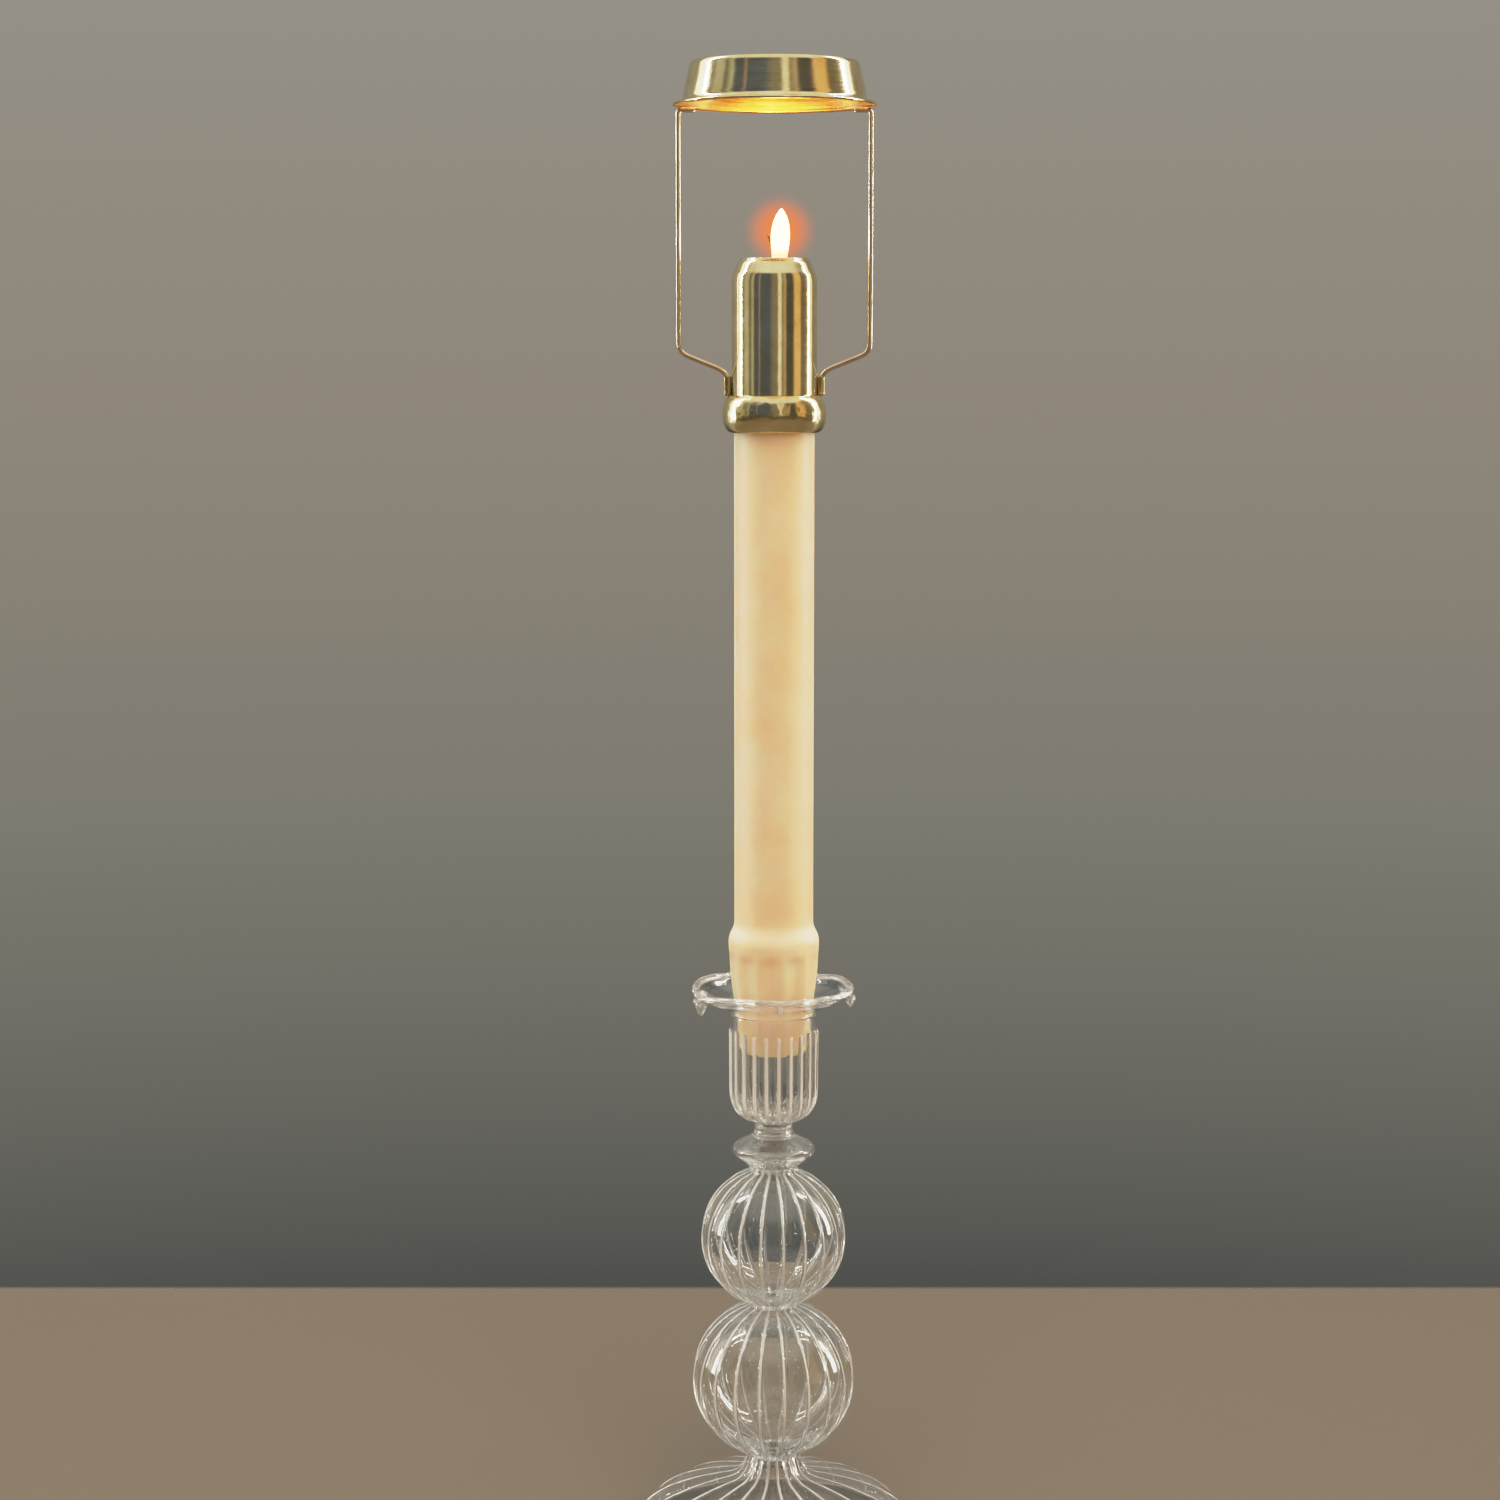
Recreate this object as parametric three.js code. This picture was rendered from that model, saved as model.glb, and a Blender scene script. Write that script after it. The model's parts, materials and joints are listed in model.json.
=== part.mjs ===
// Hand-blown glass candlestick holding a self-fitting candle, with a brass follower on the candle
// that carries a shade ring on two wire arms.
// Millimetres, +Z up. The origin is on the table under the stem's axis, and the arms lie along X.

import * as THREE from 'three';

// ---- Glass: walls and ribs ----
const GLASS_WALL = 1.2;
const STEM_RIBS = 20;
const CUP_RIBS = 22;
const RIB_HEIGHT = 0.45;

// ---- Foot: a bell with a rounded rim, flared up into a neck ----
const FOOT_RADIUS = 39;
const FOOT_HEIGHT = 23.1;
const FOOT_RIM_HEIGHT = 3.6;
const FOOT_DOME_HEIGHT = 16.8;
const FOOT_FLARE_RADIUS = 11.6;

// ---- Stem: two blown balls, joined by short necks ----
const FOOT_NECK_RADIUS = 7.1;
const WAIST_RADIUS = 6.9;
const STEM_TOP_RADIUS = 6.4;
const LOWER_BALL_RADIUS = 22.8;
const UPPER_BALL_RADIUS = 20.3;
const NECK_COLLAR = 1.1;

// ---- Collar disc and neck between the balls and the cup ----
const DISC_RADIUS = 11.8;
const DISC_EDGE = 3.6;
const DISC_UNDERSIDE = 3.4;
const DISC_TOPSIDE = 2.5;
const DISC_WALL = 1.1;
const NECK_RADIUS = 5.1;
const NECK_FLARE = 0.8;
const NECK_HEIGHT = 4.2;

// ---- Cup that holds the candle ----
const CUP_RADIUS = 12.0;
const CUP_BOWL_HEIGHT = 9;
const CUP_HEIGHT = 31.4;
const MOUTH_RADIUS = 11.0;
const CUP_FLOOR = 2.2;

// ---- Drip pan with a thick rolled rim and the drawn glass drops under it ----
const PAN_RADIUS = 23.4;
const PAN_DEPTH = 6.5;
const PAN_RIM_THICKNESS = 2.6;
const DROP_COUNT = 5;
const DROP_LENGTH = 3.2;
const DROP_RADIUS = 1.5;
const DROP_PHASE = THREE.MathUtils.degToRad(4);

// ---- Candle ----
const CANDLE_RADIUS = 11.1;
const CANDLE_LENGTH = 221.4;
const BUTT_END_RADIUS = 9.9;
const BUTT_IN_CUP = 11.3;
const BUTT_SHOULDER_RADIUS = 12.8;
const BUTT_LENGTH = 36.8;
const FLUTES = 10;
const FLUTE_DEPTH = 0.8;
const MOUTH_FIT = 0.3;
const POOL_DEPTH = 1.6;
const WICK_RADIUS = 0.75;
const WICK_RISE = 7;
const WICK_HOLE_DEPTH = 12;
const WICK_FIT = 0.3;

// ---- Follower: thin sleeve over the candle's top, and the bead ring at its foot ----
const SHEET = 0.4;
const SLEEVE_FIT = 0.3;
const SLEEVE_LENGTH = 46.6;
const SLEEVE_SHOULDER = 5;
const SLEEVE_HOLE_RADIUS = 8.6;
const SLEEVE_LIP_RADIUS = 9.5;
const LIP_FIT = 0.3;
const BEAD_HEIGHT = 10.3;
const BEAD_DEPTH = 2.3;
const BEAD_LIP = 1.0;
const BEAD_FIT = 0.3;

// ---- Shade ring and the two wire arms ----
const WIRE_RADIUS = 0.7;
const ARM_RADIUS = 26.3;
const ARM_FOOT_BEND = 0.9;
const ARM_BEND = 3.4;
const RING_BEND = 1;
const ARM_TURN_IN = 4.9;
const ARM_SLOPE_RISE = 5.3;
const ARM_LENGTH = 71.6;
const LUG_HEIGHT = 5.4;
const LUG_THICKNESS = 1.8;
const LUG_WIDTH = 3;
const RING_HEIGHT = 11.9;
const RING_TOP_RADIUS = 23.3;
const RING_BOTTOM_RADIUS = 25.1;
const RING_FLANGE_RADIUS = 27.8;
const RING_OPENING_RADIUS = 21.9;
const RING_SHEET = 0.5;
const ARM_FIT = 0.3;

// ---- Facets ----
const STEM_SEGMENTS = 2 * STEM_RIBS;
const CUP_SEGMENTS = 2 * CUP_RIBS;
const CANDLE_SEGMENTS = 4 * FLUTES;
const ROUND_SEGMENTS = 32;
const NECK_SEGMENTS = 24;
const DROP_SEGMENTS = 8;
const ARM_STEPS = 50;

// ---- Materials ----
const glass = new THREE.MeshStandardMaterial({
  color: 0xe8ecea,
  roughness: 0.04,
  metalness: 0,
  transparent: true,
  opacity: 0.4,
});
const brass = new THREE.MeshStandardMaterial({ color: 0xc8a14e, roughness: 0.18, metalness: 1 });
const wax = new THREE.MeshStandardMaterial({ color: 0xe9cfa4, roughness: 0.55, metalness: 0 });
const cotton = new THREE.MeshStandardMaterial({ color: 0x2b221c, roughness: 0.95, metalness: 0 });

// ---- Outlines, in radius and height ----
const point = (radius, height) => new THREE.Vector2(radius, height);

// Points along a circle about (radius, height), from one angle to the other, in radians from +radius.
function arc(radius, height, size, from, to, steps) {
  const points = [];
  for (let i = 0; i <= steps; i += 1) {
    const angle = THREE.MathUtils.lerp(from, to, i / steps);
    points.push(point(radius + size * Math.cos(angle), height + size * Math.sin(angle)));
  }
  return points;
}

// Points along a curve that leaves the start towards the corner and reaches the end from it.
function sweep(start, corner, end, steps) {
  return new THREE.QuadraticBezierCurve(start, corner, end).getPoints(steps);
}

// An upward outline moved inwards by the wall. Both ends stay on their own level.
function inset(outline, wall) {
  return outline.map((here, i) => {
    if (i === 0 || i === outline.length - 1) {
      return point(here.x - wall, here.y);
    }
    const before = here.clone().sub(outline[i - 1]).normalize();
    const after = outline[i + 1].clone().sub(here).normalize();
    const along = before.clone().add(after).normalize();
    const spread = wall / Math.max(0.5, along.dot(before));
    return point(here.x - along.y * spread, here.y + along.x * spread);
  });
}

// Outer outline, with its inner side, as one closed section that goes up outside and down inside.
function shellSection(outer, wall) {
  return [...outer, ...inset(outer, wall).reverse(), outer[0].clone()];
}

// ---- Solids ----

// Turns a section about Z. relief(segment, index) is what to add to the radius of one point.
function turned(section, segments, relief) {
  const geometry = new THREE.LatheGeometry(section, segments);
  geometry.rotateX(Math.PI / 2);
  if (!relief) {
    return geometry;
  }
  const position = geometry.attributes.position;
  for (let segment = 0; segment <= segments; segment += 1) {
    for (let i = 0; i < section.length; i += 1) {
      const vertex = segment * section.length + i;
      const radius = section[i].x;
      const growth = radius > 0 ? 1 + relief(segment % segments, i) / radius : 1;
      position.setXY(vertex, position.getX(vertex) * growth, position.getY(vertex) * growth);
    }
  }
  return geometry;
}

// A ribbed shell: every second point of the outer side stands up by the rib's height.
function ribbedShell(outer, wall, segments, height = () => RIB_HEIGHT) {
  const section = shellSection(outer, wall);
  const isOuter = (i) => i < outer.length || i === section.length - 1;
  return turned(section, segments, (segment, i) => {
    if (segment % 2 === 1 || !isOuter(i)) {
      return 0;
    }
    return height(i % (section.length - 1));
  });
}

const model = new THREE.Group();

function add(name, geometry, material, parent = model) {
  const mesh = new THREE.Mesh(geometry, material);
  mesh.name = name;
  parent.add(mesh);
  return mesh;
}

// ---- Levels of the glass, from the table up ----
const chord = (radius, neck) => Math.sqrt(radius ** 2 - neck ** 2);
const lowerCentre = FOOT_HEIGHT + NECK_COLLAR + chord(LOWER_BALL_RADIUS, FOOT_NECK_RADIUS);
const waistLevel = lowerCentre + chord(LOWER_BALL_RADIUS, WAIST_RADIUS);
const upperCentre = waistLevel + NECK_COLLAR + chord(UPPER_BALL_RADIUS, WAIST_RADIUS);
const discLevel = upperCentre + chord(UPPER_BALL_RADIUS, STEM_TOP_RADIUS) + NECK_COLLAR;
const neckLevel = discLevel + DISC_UNDERSIDE + DISC_EDGE + DISC_TOPSIDE;
const cupLevel = neckLevel + NECK_HEIGHT;
const mouthLevel = cupLevel + CUP_HEIGHT;
const rimLevel = mouthLevel + PAN_DEPTH;

// ---- Foot ----
function footOutline() {
  const rimTop = point(FOOT_RADIUS - 0.2, FOOT_RIM_HEIGHT);
  const flare = point(FOOT_FLARE_RADIUS, FOOT_DOME_HEIGHT);
  const neck = point(FOOT_NECK_RADIUS, FOOT_HEIGHT);
  const domeCorner = point(FOOT_RADIUS - 5, (FOOT_RIM_HEIGHT + FOOT_DOME_HEIGHT + 4) / 2);
  const flareCorner = point(FOOT_NECK_RADIUS + 0.9, FOOT_DOME_HEIGHT + 1.1);
  return [
    point(FOOT_RADIUS - 0.8, 0),
    point(FOOT_RADIUS, FOOT_RIM_HEIGHT * 0.4),
    ...sweep(rimTop, domeCorner, flare, 5),
    ...sweep(flare, flareCorner, neck, 3).slice(1),
  ];
}
add('foot', ribbedShell(footOutline(), GLASS_WALL, STEM_SEGMENTS, (i) => (i === 0 ? 0 : RIB_HEIGHT)), glass);

// ---- Balls ----
function ballOutline(bottom, centre, radius, bottomNeck, topNeck, top) {
  const from = -Math.acos(bottomNeck / radius);
  const to = Math.acos(topNeck / radius);
  const round = arc(0, centre, radius, from, to, 8);
  const below = bottom < round[0].y ? [point(bottomNeck, bottom)] : [];
  const above = top > round[round.length - 1].y ? [point(topNeck, top)] : [];
  return [...below, ...round, ...above];
}
const lowerBall = ballOutline(
  FOOT_HEIGHT,
  lowerCentre,
  LOWER_BALL_RADIUS,
  FOOT_NECK_RADIUS,
  WAIST_RADIUS,
  waistLevel,
);
const upperBall = ballOutline(
  waistLevel,
  upperCentre,
  UPPER_BALL_RADIUS,
  WAIST_RADIUS,
  STEM_TOP_RADIUS,
  discLevel,
);
add('lower_ball', ribbedShell(lowerBall, GLASS_WALL, STEM_SEGMENTS), glass);
add('upper_ball', ribbedShell(upperBall, GLASS_WALL, STEM_SEGMENTS), glass);

// ---- Collar disc: a flattened hollow bulb ----
const discMiddle = discLevel + DISC_UNDERSIDE + DISC_EDGE / 2;
const discOutline = [
  point(STEM_TOP_RADIUS, discLevel),
  ...arc(DISC_RADIUS - DISC_EDGE / 2, discMiddle, DISC_EDGE / 2, -Math.PI / 3, Math.PI / 3, 4),
  point(NECK_RADIUS + NECK_FLARE + 0.6, neckLevel - 0.5),
  point(NECK_RADIUS + NECK_FLARE, neckLevel),
];
add('collar_disc', turned(shellSection(discOutline, DISC_WALL), NECK_SEGMENTS), glass);

// ---- Neck ----
const neckOutline = [
  point(NECK_RADIUS + NECK_FLARE, neckLevel),
  point(NECK_RADIUS, neckLevel + NECK_HEIGHT / 2),
  point(NECK_RADIUS, cupLevel),
];
add('neck', turned(shellSection(neckOutline, DISC_WALL), NECK_SEGMENTS), glass);

// ---- Cup ----
const cupMouth = MOUTH_RADIUS + GLASS_WALL;
const bowlTop = point(CUP_RADIUS, cupLevel + CUP_BOWL_HEIGHT);
const bowlCorner = point(CUP_RADIUS, cupLevel + 1.2);
const cupOuter = [
  point(0, cupLevel),
  ...sweep(point(NECK_RADIUS, cupLevel), bowlCorner, bowlTop, 4),
  point((CUP_RADIUS + cupMouth) / 2, mouthLevel - 5),
  point(cupMouth, mouthLevel),
];
const innerBowlTop = point(CUP_RADIUS - GLASS_WALL, cupLevel + CUP_BOWL_HEIGHT + 0.6);
const innerBowlCorner = point(CUP_RADIUS - GLASS_WALL, cupLevel + CUP_FLOOR + 0.2);
const cupInner = [
  point(MOUTH_RADIUS, mouthLevel),
  ...sweep(innerBowlTop, innerBowlCorner, point(3, cupLevel + CUP_FLOOR + 0.2), 3),
  point(0, cupLevel + CUP_FLOOR),
];
const firstRib = 2;
const lastRib = cupOuter.length - 2;
const cupRelief = (segment, i) => {
  const raised = segment % 2 === 0 && i >= firstRib && i <= lastRib;
  return raised ? RIB_HEIGHT : 0;
};
add('cup', turned([...cupOuter, ...cupInner], CUP_SEGMENTS, cupRelief), glass);

// ---- Drip pan ----
const rimRadius = PAN_RIM_THICKNESS / 2;
const rimCentre = PAN_RADIUS - rimRadius;
const panUnderside = [
  point(cupMouth, mouthLevel),
  point(cupMouth + 1.2, mouthLevel + 1.7),
  point(rimCentre - 2.8, rimLevel - rimRadius - 1.9),
  point(rimCentre - 0.8, rimLevel - rimRadius),
];
const panTop = [
  point(rimCentre - rimRadius - 0.2, rimLevel),
  point(rimCentre - 3.4, rimLevel - rimRadius - 0.6),
  point(MOUTH_RADIUS + 2.2, mouthLevel + 3.1),
  point(MOUTH_RADIUS + 0.5, mouthLevel + 1.8),
  point(MOUTH_RADIUS, mouthLevel),
];
const panSection = [
  ...panUnderside,
  point(rimCentre + 0.8, rimLevel - rimRadius),
  ...arc(rimCentre, rimLevel, rimRadius, -Math.PI / 8, (5 * Math.PI) / 6, 5),
  ...panTop,
  panUnderside[0].clone(),
];
add('drip_pan', turned(panSection, STEM_SEGMENTS), glass);

// ---- Drawn drops under the rim ----
const dropSection = [
  point(0, -DROP_LENGTH),
  point(DROP_RADIUS * 0.4, -DROP_LENGTH + DROP_RADIUS * 0.1),
  point(DROP_RADIUS * 0.65, -DROP_LENGTH + DROP_RADIUS * 0.5),
  point(DROP_RADIUS, -1.1),
  point(DROP_RADIUS * 0.55, 0),
  point(0, 0),
];
for (let i = 0; i < DROP_COUNT; i += 1) {
  const around = DROP_PHASE + (i * 2 * Math.PI) / DROP_COUNT;
  const drop = add(`rim_drop_${i + 1}`, turned(dropSection, DROP_SEGMENTS), glass);
  drop.position.set(rimCentre * Math.sin(around), -rimCentre * Math.cos(around), rimLevel - rimRadius);
}

// ---- Candle: fluted tapered butt, plain body, shallow pool round the wick ----
const candleLevel = mouthLevel - BUTT_IN_CUP;
const shoulderLevel = candleLevel + BUTT_LENGTH - 4.4;
const candleTop = candleLevel + CANDLE_LENGTH;
const wickHoleRadius = WICK_RADIUS + WICK_FIT;
const wickLevel = candleTop - WICK_HOLE_DEPTH;
const waxFluted = [
  point(BUTT_END_RADIUS - 0.5, candleLevel),
  point(BUTT_END_RADIUS, candleLevel + 0.8),
  point(MOUTH_RADIUS - MOUTH_FIT, mouthLevel),
  point(BUTT_SHOULDER_RADIUS - 1.0, mouthLevel + 7.4),
  point(BUTT_SHOULDER_RADIUS - 0.4, mouthLevel + 13),
];
const waxPlain = [
  point(BUTT_SHOULDER_RADIUS, shoulderLevel),
  point(BUTT_SHOULDER_RADIUS - 0.3, shoulderLevel + 1.2),
  point(CANDLE_RADIUS + 0.3, shoulderLevel + 3.4),
  point(CANDLE_RADIUS, candleLevel + BUTT_LENGTH),
  point(CANDLE_RADIUS, candleTop - SLEEVE_SHOULDER - 0.6),
  point(CANDLE_RADIUS - 0.7, candleTop - SLEEVE_SHOULDER / 2),
  point(SLEEVE_LIP_RADIUS - 0.5, candleTop),
  point(SLEEVE_HOLE_RADIUS - 0.4, candleTop),
  point(SLEEVE_HOLE_RADIUS - 1.6, candleTop - POOL_DEPTH + 0.3),
  point(wickHoleRadius, candleTop - POOL_DEPTH),
  point(wickHoleRadius, wickLevel),
  point(0, wickLevel),
];
const waxSection = [point(0, candleLevel), ...waxFluted, ...waxPlain];
const fluteShare = [0, 0.5, 1, 0.5];
const fluteRelief = (segment, i) => {
  const fluted = i >= 1 && i <= waxFluted.length;
  return fluted ? -FLUTE_DEPTH * fluteShare[segment % fluteShare.length] : 0;
};
add('candle_wax', turned(waxSection, CANDLE_SEGMENTS, fluteRelief), wax);

const wickSection = [
  point(0, wickLevel),
  point(WICK_RADIUS, wickLevel),
  point(WICK_RADIUS, candleTop + WICK_RISE - 0.5),
  point(WICK_RADIUS * 0.6, candleTop + WICK_RISE),
  point(0, candleTop + WICK_RISE),
];
add('wick', turned(wickSection, DROP_SEGMENTS), cotton);

// ---- Sleeve: its turned-in lip rests on the candle's top edge ----
const sleeveInner = CANDLE_RADIUS + SLEEVE_FIT;
const sleeveOuter = sleeveInner + SHEET;
const sleeveTop = candleTop + LIP_FIT + SHEET;
const sleeveLevel = sleeveTop - SLEEVE_LENGTH;
const sleeveSection = [
  point(sleeveOuter, sleeveLevel),
  point(sleeveOuter, sleeveTop - SLEEVE_SHOULDER),
  point(sleeveOuter - 0.6, sleeveTop - SLEEVE_SHOULDER / 2),
  point(SLEEVE_LIP_RADIUS, sleeveTop),
  point(SLEEVE_HOLE_RADIUS, sleeveTop),
  point(SLEEVE_HOLE_RADIUS, sleeveTop - SHEET),
  point(SLEEVE_LIP_RADIUS - 0.2, sleeveTop - SHEET),
  point(sleeveInner - 0.6, sleeveTop - SLEEVE_SHOULDER / 2 - 0.2),
  point(sleeveInner, sleeveTop - SLEEVE_SHOULDER - 0.1),
  point(sleeveInner, sleeveLevel),
  point(sleeveOuter, sleeveLevel),
];
add('sleeve', turned(sleeveSection, ROUND_SEGMENTS), brass);

// ---- Bead ring: the sleeve stands on its turned-in bottom lip ----
const beadInner = sleeveOuter + BEAD_FIT;
const beadLevel = sleeveLevel - BEAD_LIP;
const beadTop = beadLevel + BEAD_HEIGHT;
const beadSection = [
  point(sleeveInner, beadLevel),
  point(beadInner + BEAD_DEPTH * 0.35, beadLevel),
  point(beadInner + BEAD_DEPTH * 0.85, beadLevel + BEAD_HEIGHT * 0.2),
  point(beadInner + BEAD_DEPTH, beadLevel + BEAD_HEIGHT * 0.5),
  point(beadInner + BEAD_DEPTH * 0.85, beadLevel + BEAD_HEIGHT * 0.8),
  point(beadInner + BEAD_DEPTH * 0.35, beadTop),
  point(beadInner, beadTop),
  point(beadInner, sleeveLevel),
  point(sleeveInner, sleeveLevel),
  point(sleeveInner, beadLevel),
];
add('bead_ring', turned(beadSection, ROUND_SEGMENTS), brass);

// ---- Shade ring: short cone with a flared flange below and a turned-in edge above ----
const lugTop = beadTop + LUG_HEIGHT;
const armTop = lugTop + ARM_LENGTH;
const ringLevel = armTop + WIRE_RADIUS + ARM_FIT;
const ringTop = ringLevel + RING_HEIGHT;
const ringSection = [
  point(RING_BOTTOM_RADIUS + 0.2, ringLevel),
  point(RING_FLANGE_RADIUS - 0.2, ringLevel),
  point(RING_FLANGE_RADIUS, ringLevel + 0.45),
  point(RING_FLANGE_RADIUS - 0.2, ringLevel + 0.9),
  point(RING_BOTTOM_RADIUS + 0.9, ringLevel + 0.9),
  point(RING_BOTTOM_RADIUS + 0.1, ringLevel + 2.6),
  point(RING_TOP_RADIUS + 0.2, ringTop - 1.7),
  point(RING_TOP_RADIUS - 0.4, ringTop - 0.5),
  point(RING_TOP_RADIUS - 0.9, ringTop),
  point(RING_OPENING_RADIUS, ringTop),
  point(RING_OPENING_RADIUS, ringTop - RING_SHEET),
  point(RING_TOP_RADIUS - 1.0, ringTop - RING_SHEET - 0.1),
  point(RING_TOP_RADIUS + 0.2 - RING_SHEET, ringTop - 1.8),
  point(RING_BOTTOM_RADIUS + 0.1 - RING_SHEET, ringLevel + 2.5),
  point(RING_BOTTOM_RADIUS + 0.2, ringLevel),
];
add('gallery_ring', turned(ringSection, ROUND_SEGMENTS), brass);

// ---- Arms and the solder lugs that they stand on, one pair on each side ----
const lugInner = sleeveOuter + BEAD_FIT;
const lugMiddle = lugInner + LUG_THICKNESS / 2;

// A line through the corners, with a round bend at each inner corner. reaches says how far each bend goes.
function bentPath(corners, reaches) {
  const path = new THREE.CurvePath();
  let start = corners[0];
  for (let i = 1; i < corners.length - 1; i += 1) {
    const corner = corners[i];
    const reach = reaches[i - 1];
    const into = corner.clone().add(start.clone().sub(corner).setLength(reach));
    const out = corner.clone().add(corners[i + 1].clone().sub(corner).setLength(reach));
    path.add(new THREE.LineCurve3(start, into));
    path.add(new THREE.QuadraticBezierCurve3(into, corner, out));
    start = out;
  }
  path.add(new THREE.LineCurve3(start, corners[corners.length - 1]));
  return path;
}

function circle(radius, sides) {
  const shape = new THREE.Shape();
  for (let i = 0; i < sides; i += 1) {
    const angle = (i * 2 * Math.PI) / sides;
    const step = i === 0 ? 'moveTo' : 'lineTo';
    shape[step](radius * Math.cos(angle), radius * Math.sin(angle));
  }
  return shape;
}

function armGeometry() {
  const corners = [
    new THREE.Vector3(lugMiddle, 0, lugTop),
    new THREE.Vector3(lugMiddle, 0, lugTop + ARM_FOOT_BEND),
    new THREE.Vector3(ARM_RADIUS, 0, lugTop + ARM_FOOT_BEND + ARM_SLOPE_RISE),
    new THREE.Vector3(ARM_RADIUS, 0, armTop),
    new THREE.Vector3(ARM_RADIUS - ARM_TURN_IN, 0, armTop),
  ];
  const path = bentPath(corners, [ARM_FOOT_BEND, ARM_BEND, RING_BEND]);
  return new THREE.ExtrudeGeometry(circle(WIRE_RADIUS, 8), { steps: ARM_STEPS, extrudePath: path });
}

function lugGeometry() {
  const half = LUG_WIDTH / 2;
  const outline = new THREE.Shape();
  outline.moveTo(lugInner, -half);
  outline.lineTo(lugMiddle, -half);
  outline.quadraticCurveTo(lugInner + LUG_THICKNESS, -half, lugInner + LUG_THICKNESS, 0);
  outline.quadraticCurveTo(lugInner + LUG_THICKNESS, half, lugMiddle, half);
  outline.lineTo(lugInner, half);
  outline.closePath();
  const options = { depth: LUG_HEIGHT, bevelEnabled: false, curveSegments: 3 };
  return new THREE.ExtrudeGeometry(outline, options).translate(0, 0, beadTop);
}

const sides = { right: 0, left: Math.PI };
for (const [side, turn] of Object.entries(sides)) {
  const pair = new THREE.Group();
  pair.rotation.z = turn;
  model.add(pair);
  add(`arm_${side}`, armGeometry(), brass, pair);
  add(`foot_lug_${side}`, lugGeometry(), brass, pair);
}

export default model;
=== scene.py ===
import json

import bmesh
import bpy
import numpy as np
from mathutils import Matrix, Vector

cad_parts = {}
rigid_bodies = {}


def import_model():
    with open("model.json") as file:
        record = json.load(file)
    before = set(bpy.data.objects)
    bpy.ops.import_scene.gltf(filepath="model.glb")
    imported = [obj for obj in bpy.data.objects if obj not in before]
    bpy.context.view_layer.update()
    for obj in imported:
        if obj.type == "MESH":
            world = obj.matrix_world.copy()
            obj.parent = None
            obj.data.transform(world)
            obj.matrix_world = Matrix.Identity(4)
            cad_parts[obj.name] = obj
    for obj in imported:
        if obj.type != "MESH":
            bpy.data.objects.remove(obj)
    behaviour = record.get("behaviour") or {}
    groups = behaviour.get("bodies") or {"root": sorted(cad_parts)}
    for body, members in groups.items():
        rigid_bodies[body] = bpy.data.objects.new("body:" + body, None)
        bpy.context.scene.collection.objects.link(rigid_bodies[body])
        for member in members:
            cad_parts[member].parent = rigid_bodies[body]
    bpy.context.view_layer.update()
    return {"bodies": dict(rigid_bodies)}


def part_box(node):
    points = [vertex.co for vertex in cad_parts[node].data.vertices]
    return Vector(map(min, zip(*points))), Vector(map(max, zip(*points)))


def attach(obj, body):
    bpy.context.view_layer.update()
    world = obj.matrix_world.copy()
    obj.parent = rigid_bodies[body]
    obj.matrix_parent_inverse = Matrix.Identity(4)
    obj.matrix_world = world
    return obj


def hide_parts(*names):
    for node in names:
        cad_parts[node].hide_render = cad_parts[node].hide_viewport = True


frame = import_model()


# ---- Camera ----
# A long lens at about the height of the candle's top, pitched a little down onto the stem, with the
# two arms of the shade ring square across the view. Light is followed through forty glass faces,
# because the thin shells stand one behind another.
CAMERA_DISTANCE = 0.832
CAMERA_HEIGHT = 0.342
CAMERA_SIDE = -0.0067
CAMERA_PITCH = 7.8
CAMERA_LENS = 72
SENSOR_WIDTH = 36
LIGHT_BOUNCES = 40
BRIGHTEST_BOUNCE = 40

lens = bpy.data.cameras.new("camera")
lens.lens = CAMERA_LENS
lens.sensor_width = SENSOR_WIDTH
camera = bpy.data.objects.new("camera", lens)
camera.location = (CAMERA_SIDE, -CAMERA_DISTANCE, CAMERA_HEIGHT)
camera.rotation_euler = (np.radians(90 - CAMERA_PITCH), 0, 0)
bpy.context.scene.collection.objects.link(camera)
bpy.context.scene.camera = camera
bpy.context.scene.view_settings.view_transform = "Standard"
bpy.context.scene.cycles.max_bounces = LIGHT_BOUNCES
bpy.context.scene.cycles.glossy_bounces = LIGHT_BOUNCES
bpy.context.scene.cycles.transmission_bounces = LIGHT_BOUNCES
bpy.context.scene.cycles.sample_clamp_indirect = BRIGHTEST_BOUNCE


# ---- Room ----
# A plain grey studio: a wall behind (WALL, by height), a pale ceiling, a table top with a straight back
# edge, a tall window to either side, and lighter and darker stretches of room in front, which the brass
# mirrors as stripes (ROUND_THE_ROOM, by degrees round from the front).
WALL = (
    (-0.310, "4d4e4b"), (-0.281, "5c5c57"), (-0.217, "706e66"), (-0.152, "7e7b70"),
    (-0.086, "878176"), (-0.020, "8f877c"), (0.046, "928b80"), (0.100, "949087"),
)
ROUND_THE_ROOM = (
    (-180, "8d867b"), (-152, "8d867b"), (-140, "b9b2a4"), (-131, "9a9488"), (-126, "a8a292"),
    (-97, "a8a292"), (-92, "6a6656"), (-86, "bdb9a6"), (-76, "c4c0aa"), (-70, "6a6860"),
    (-60, "c8c2a8"), (-56, "5a6270"), (-44, "5a6270"), (-41, "b89888"), (-38, "5a6270"),
    (-14, "586070"), (-3, "8a8272"), (8, "8a8272"), (11, "fff4e0"), (17, "fff4e0"),
    (20, "8d8066"), (29, "c8b090"), (33, "585450"), (50, "585450"), (57, "f0c88a"),
    (72, "f2c484"), (77, "7a705a"), (94, "84796a"), (98, "b4a68c"), (122, "b4a68c"),
    (127, "8a8070"), (152, "b0a090"),
)
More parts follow.
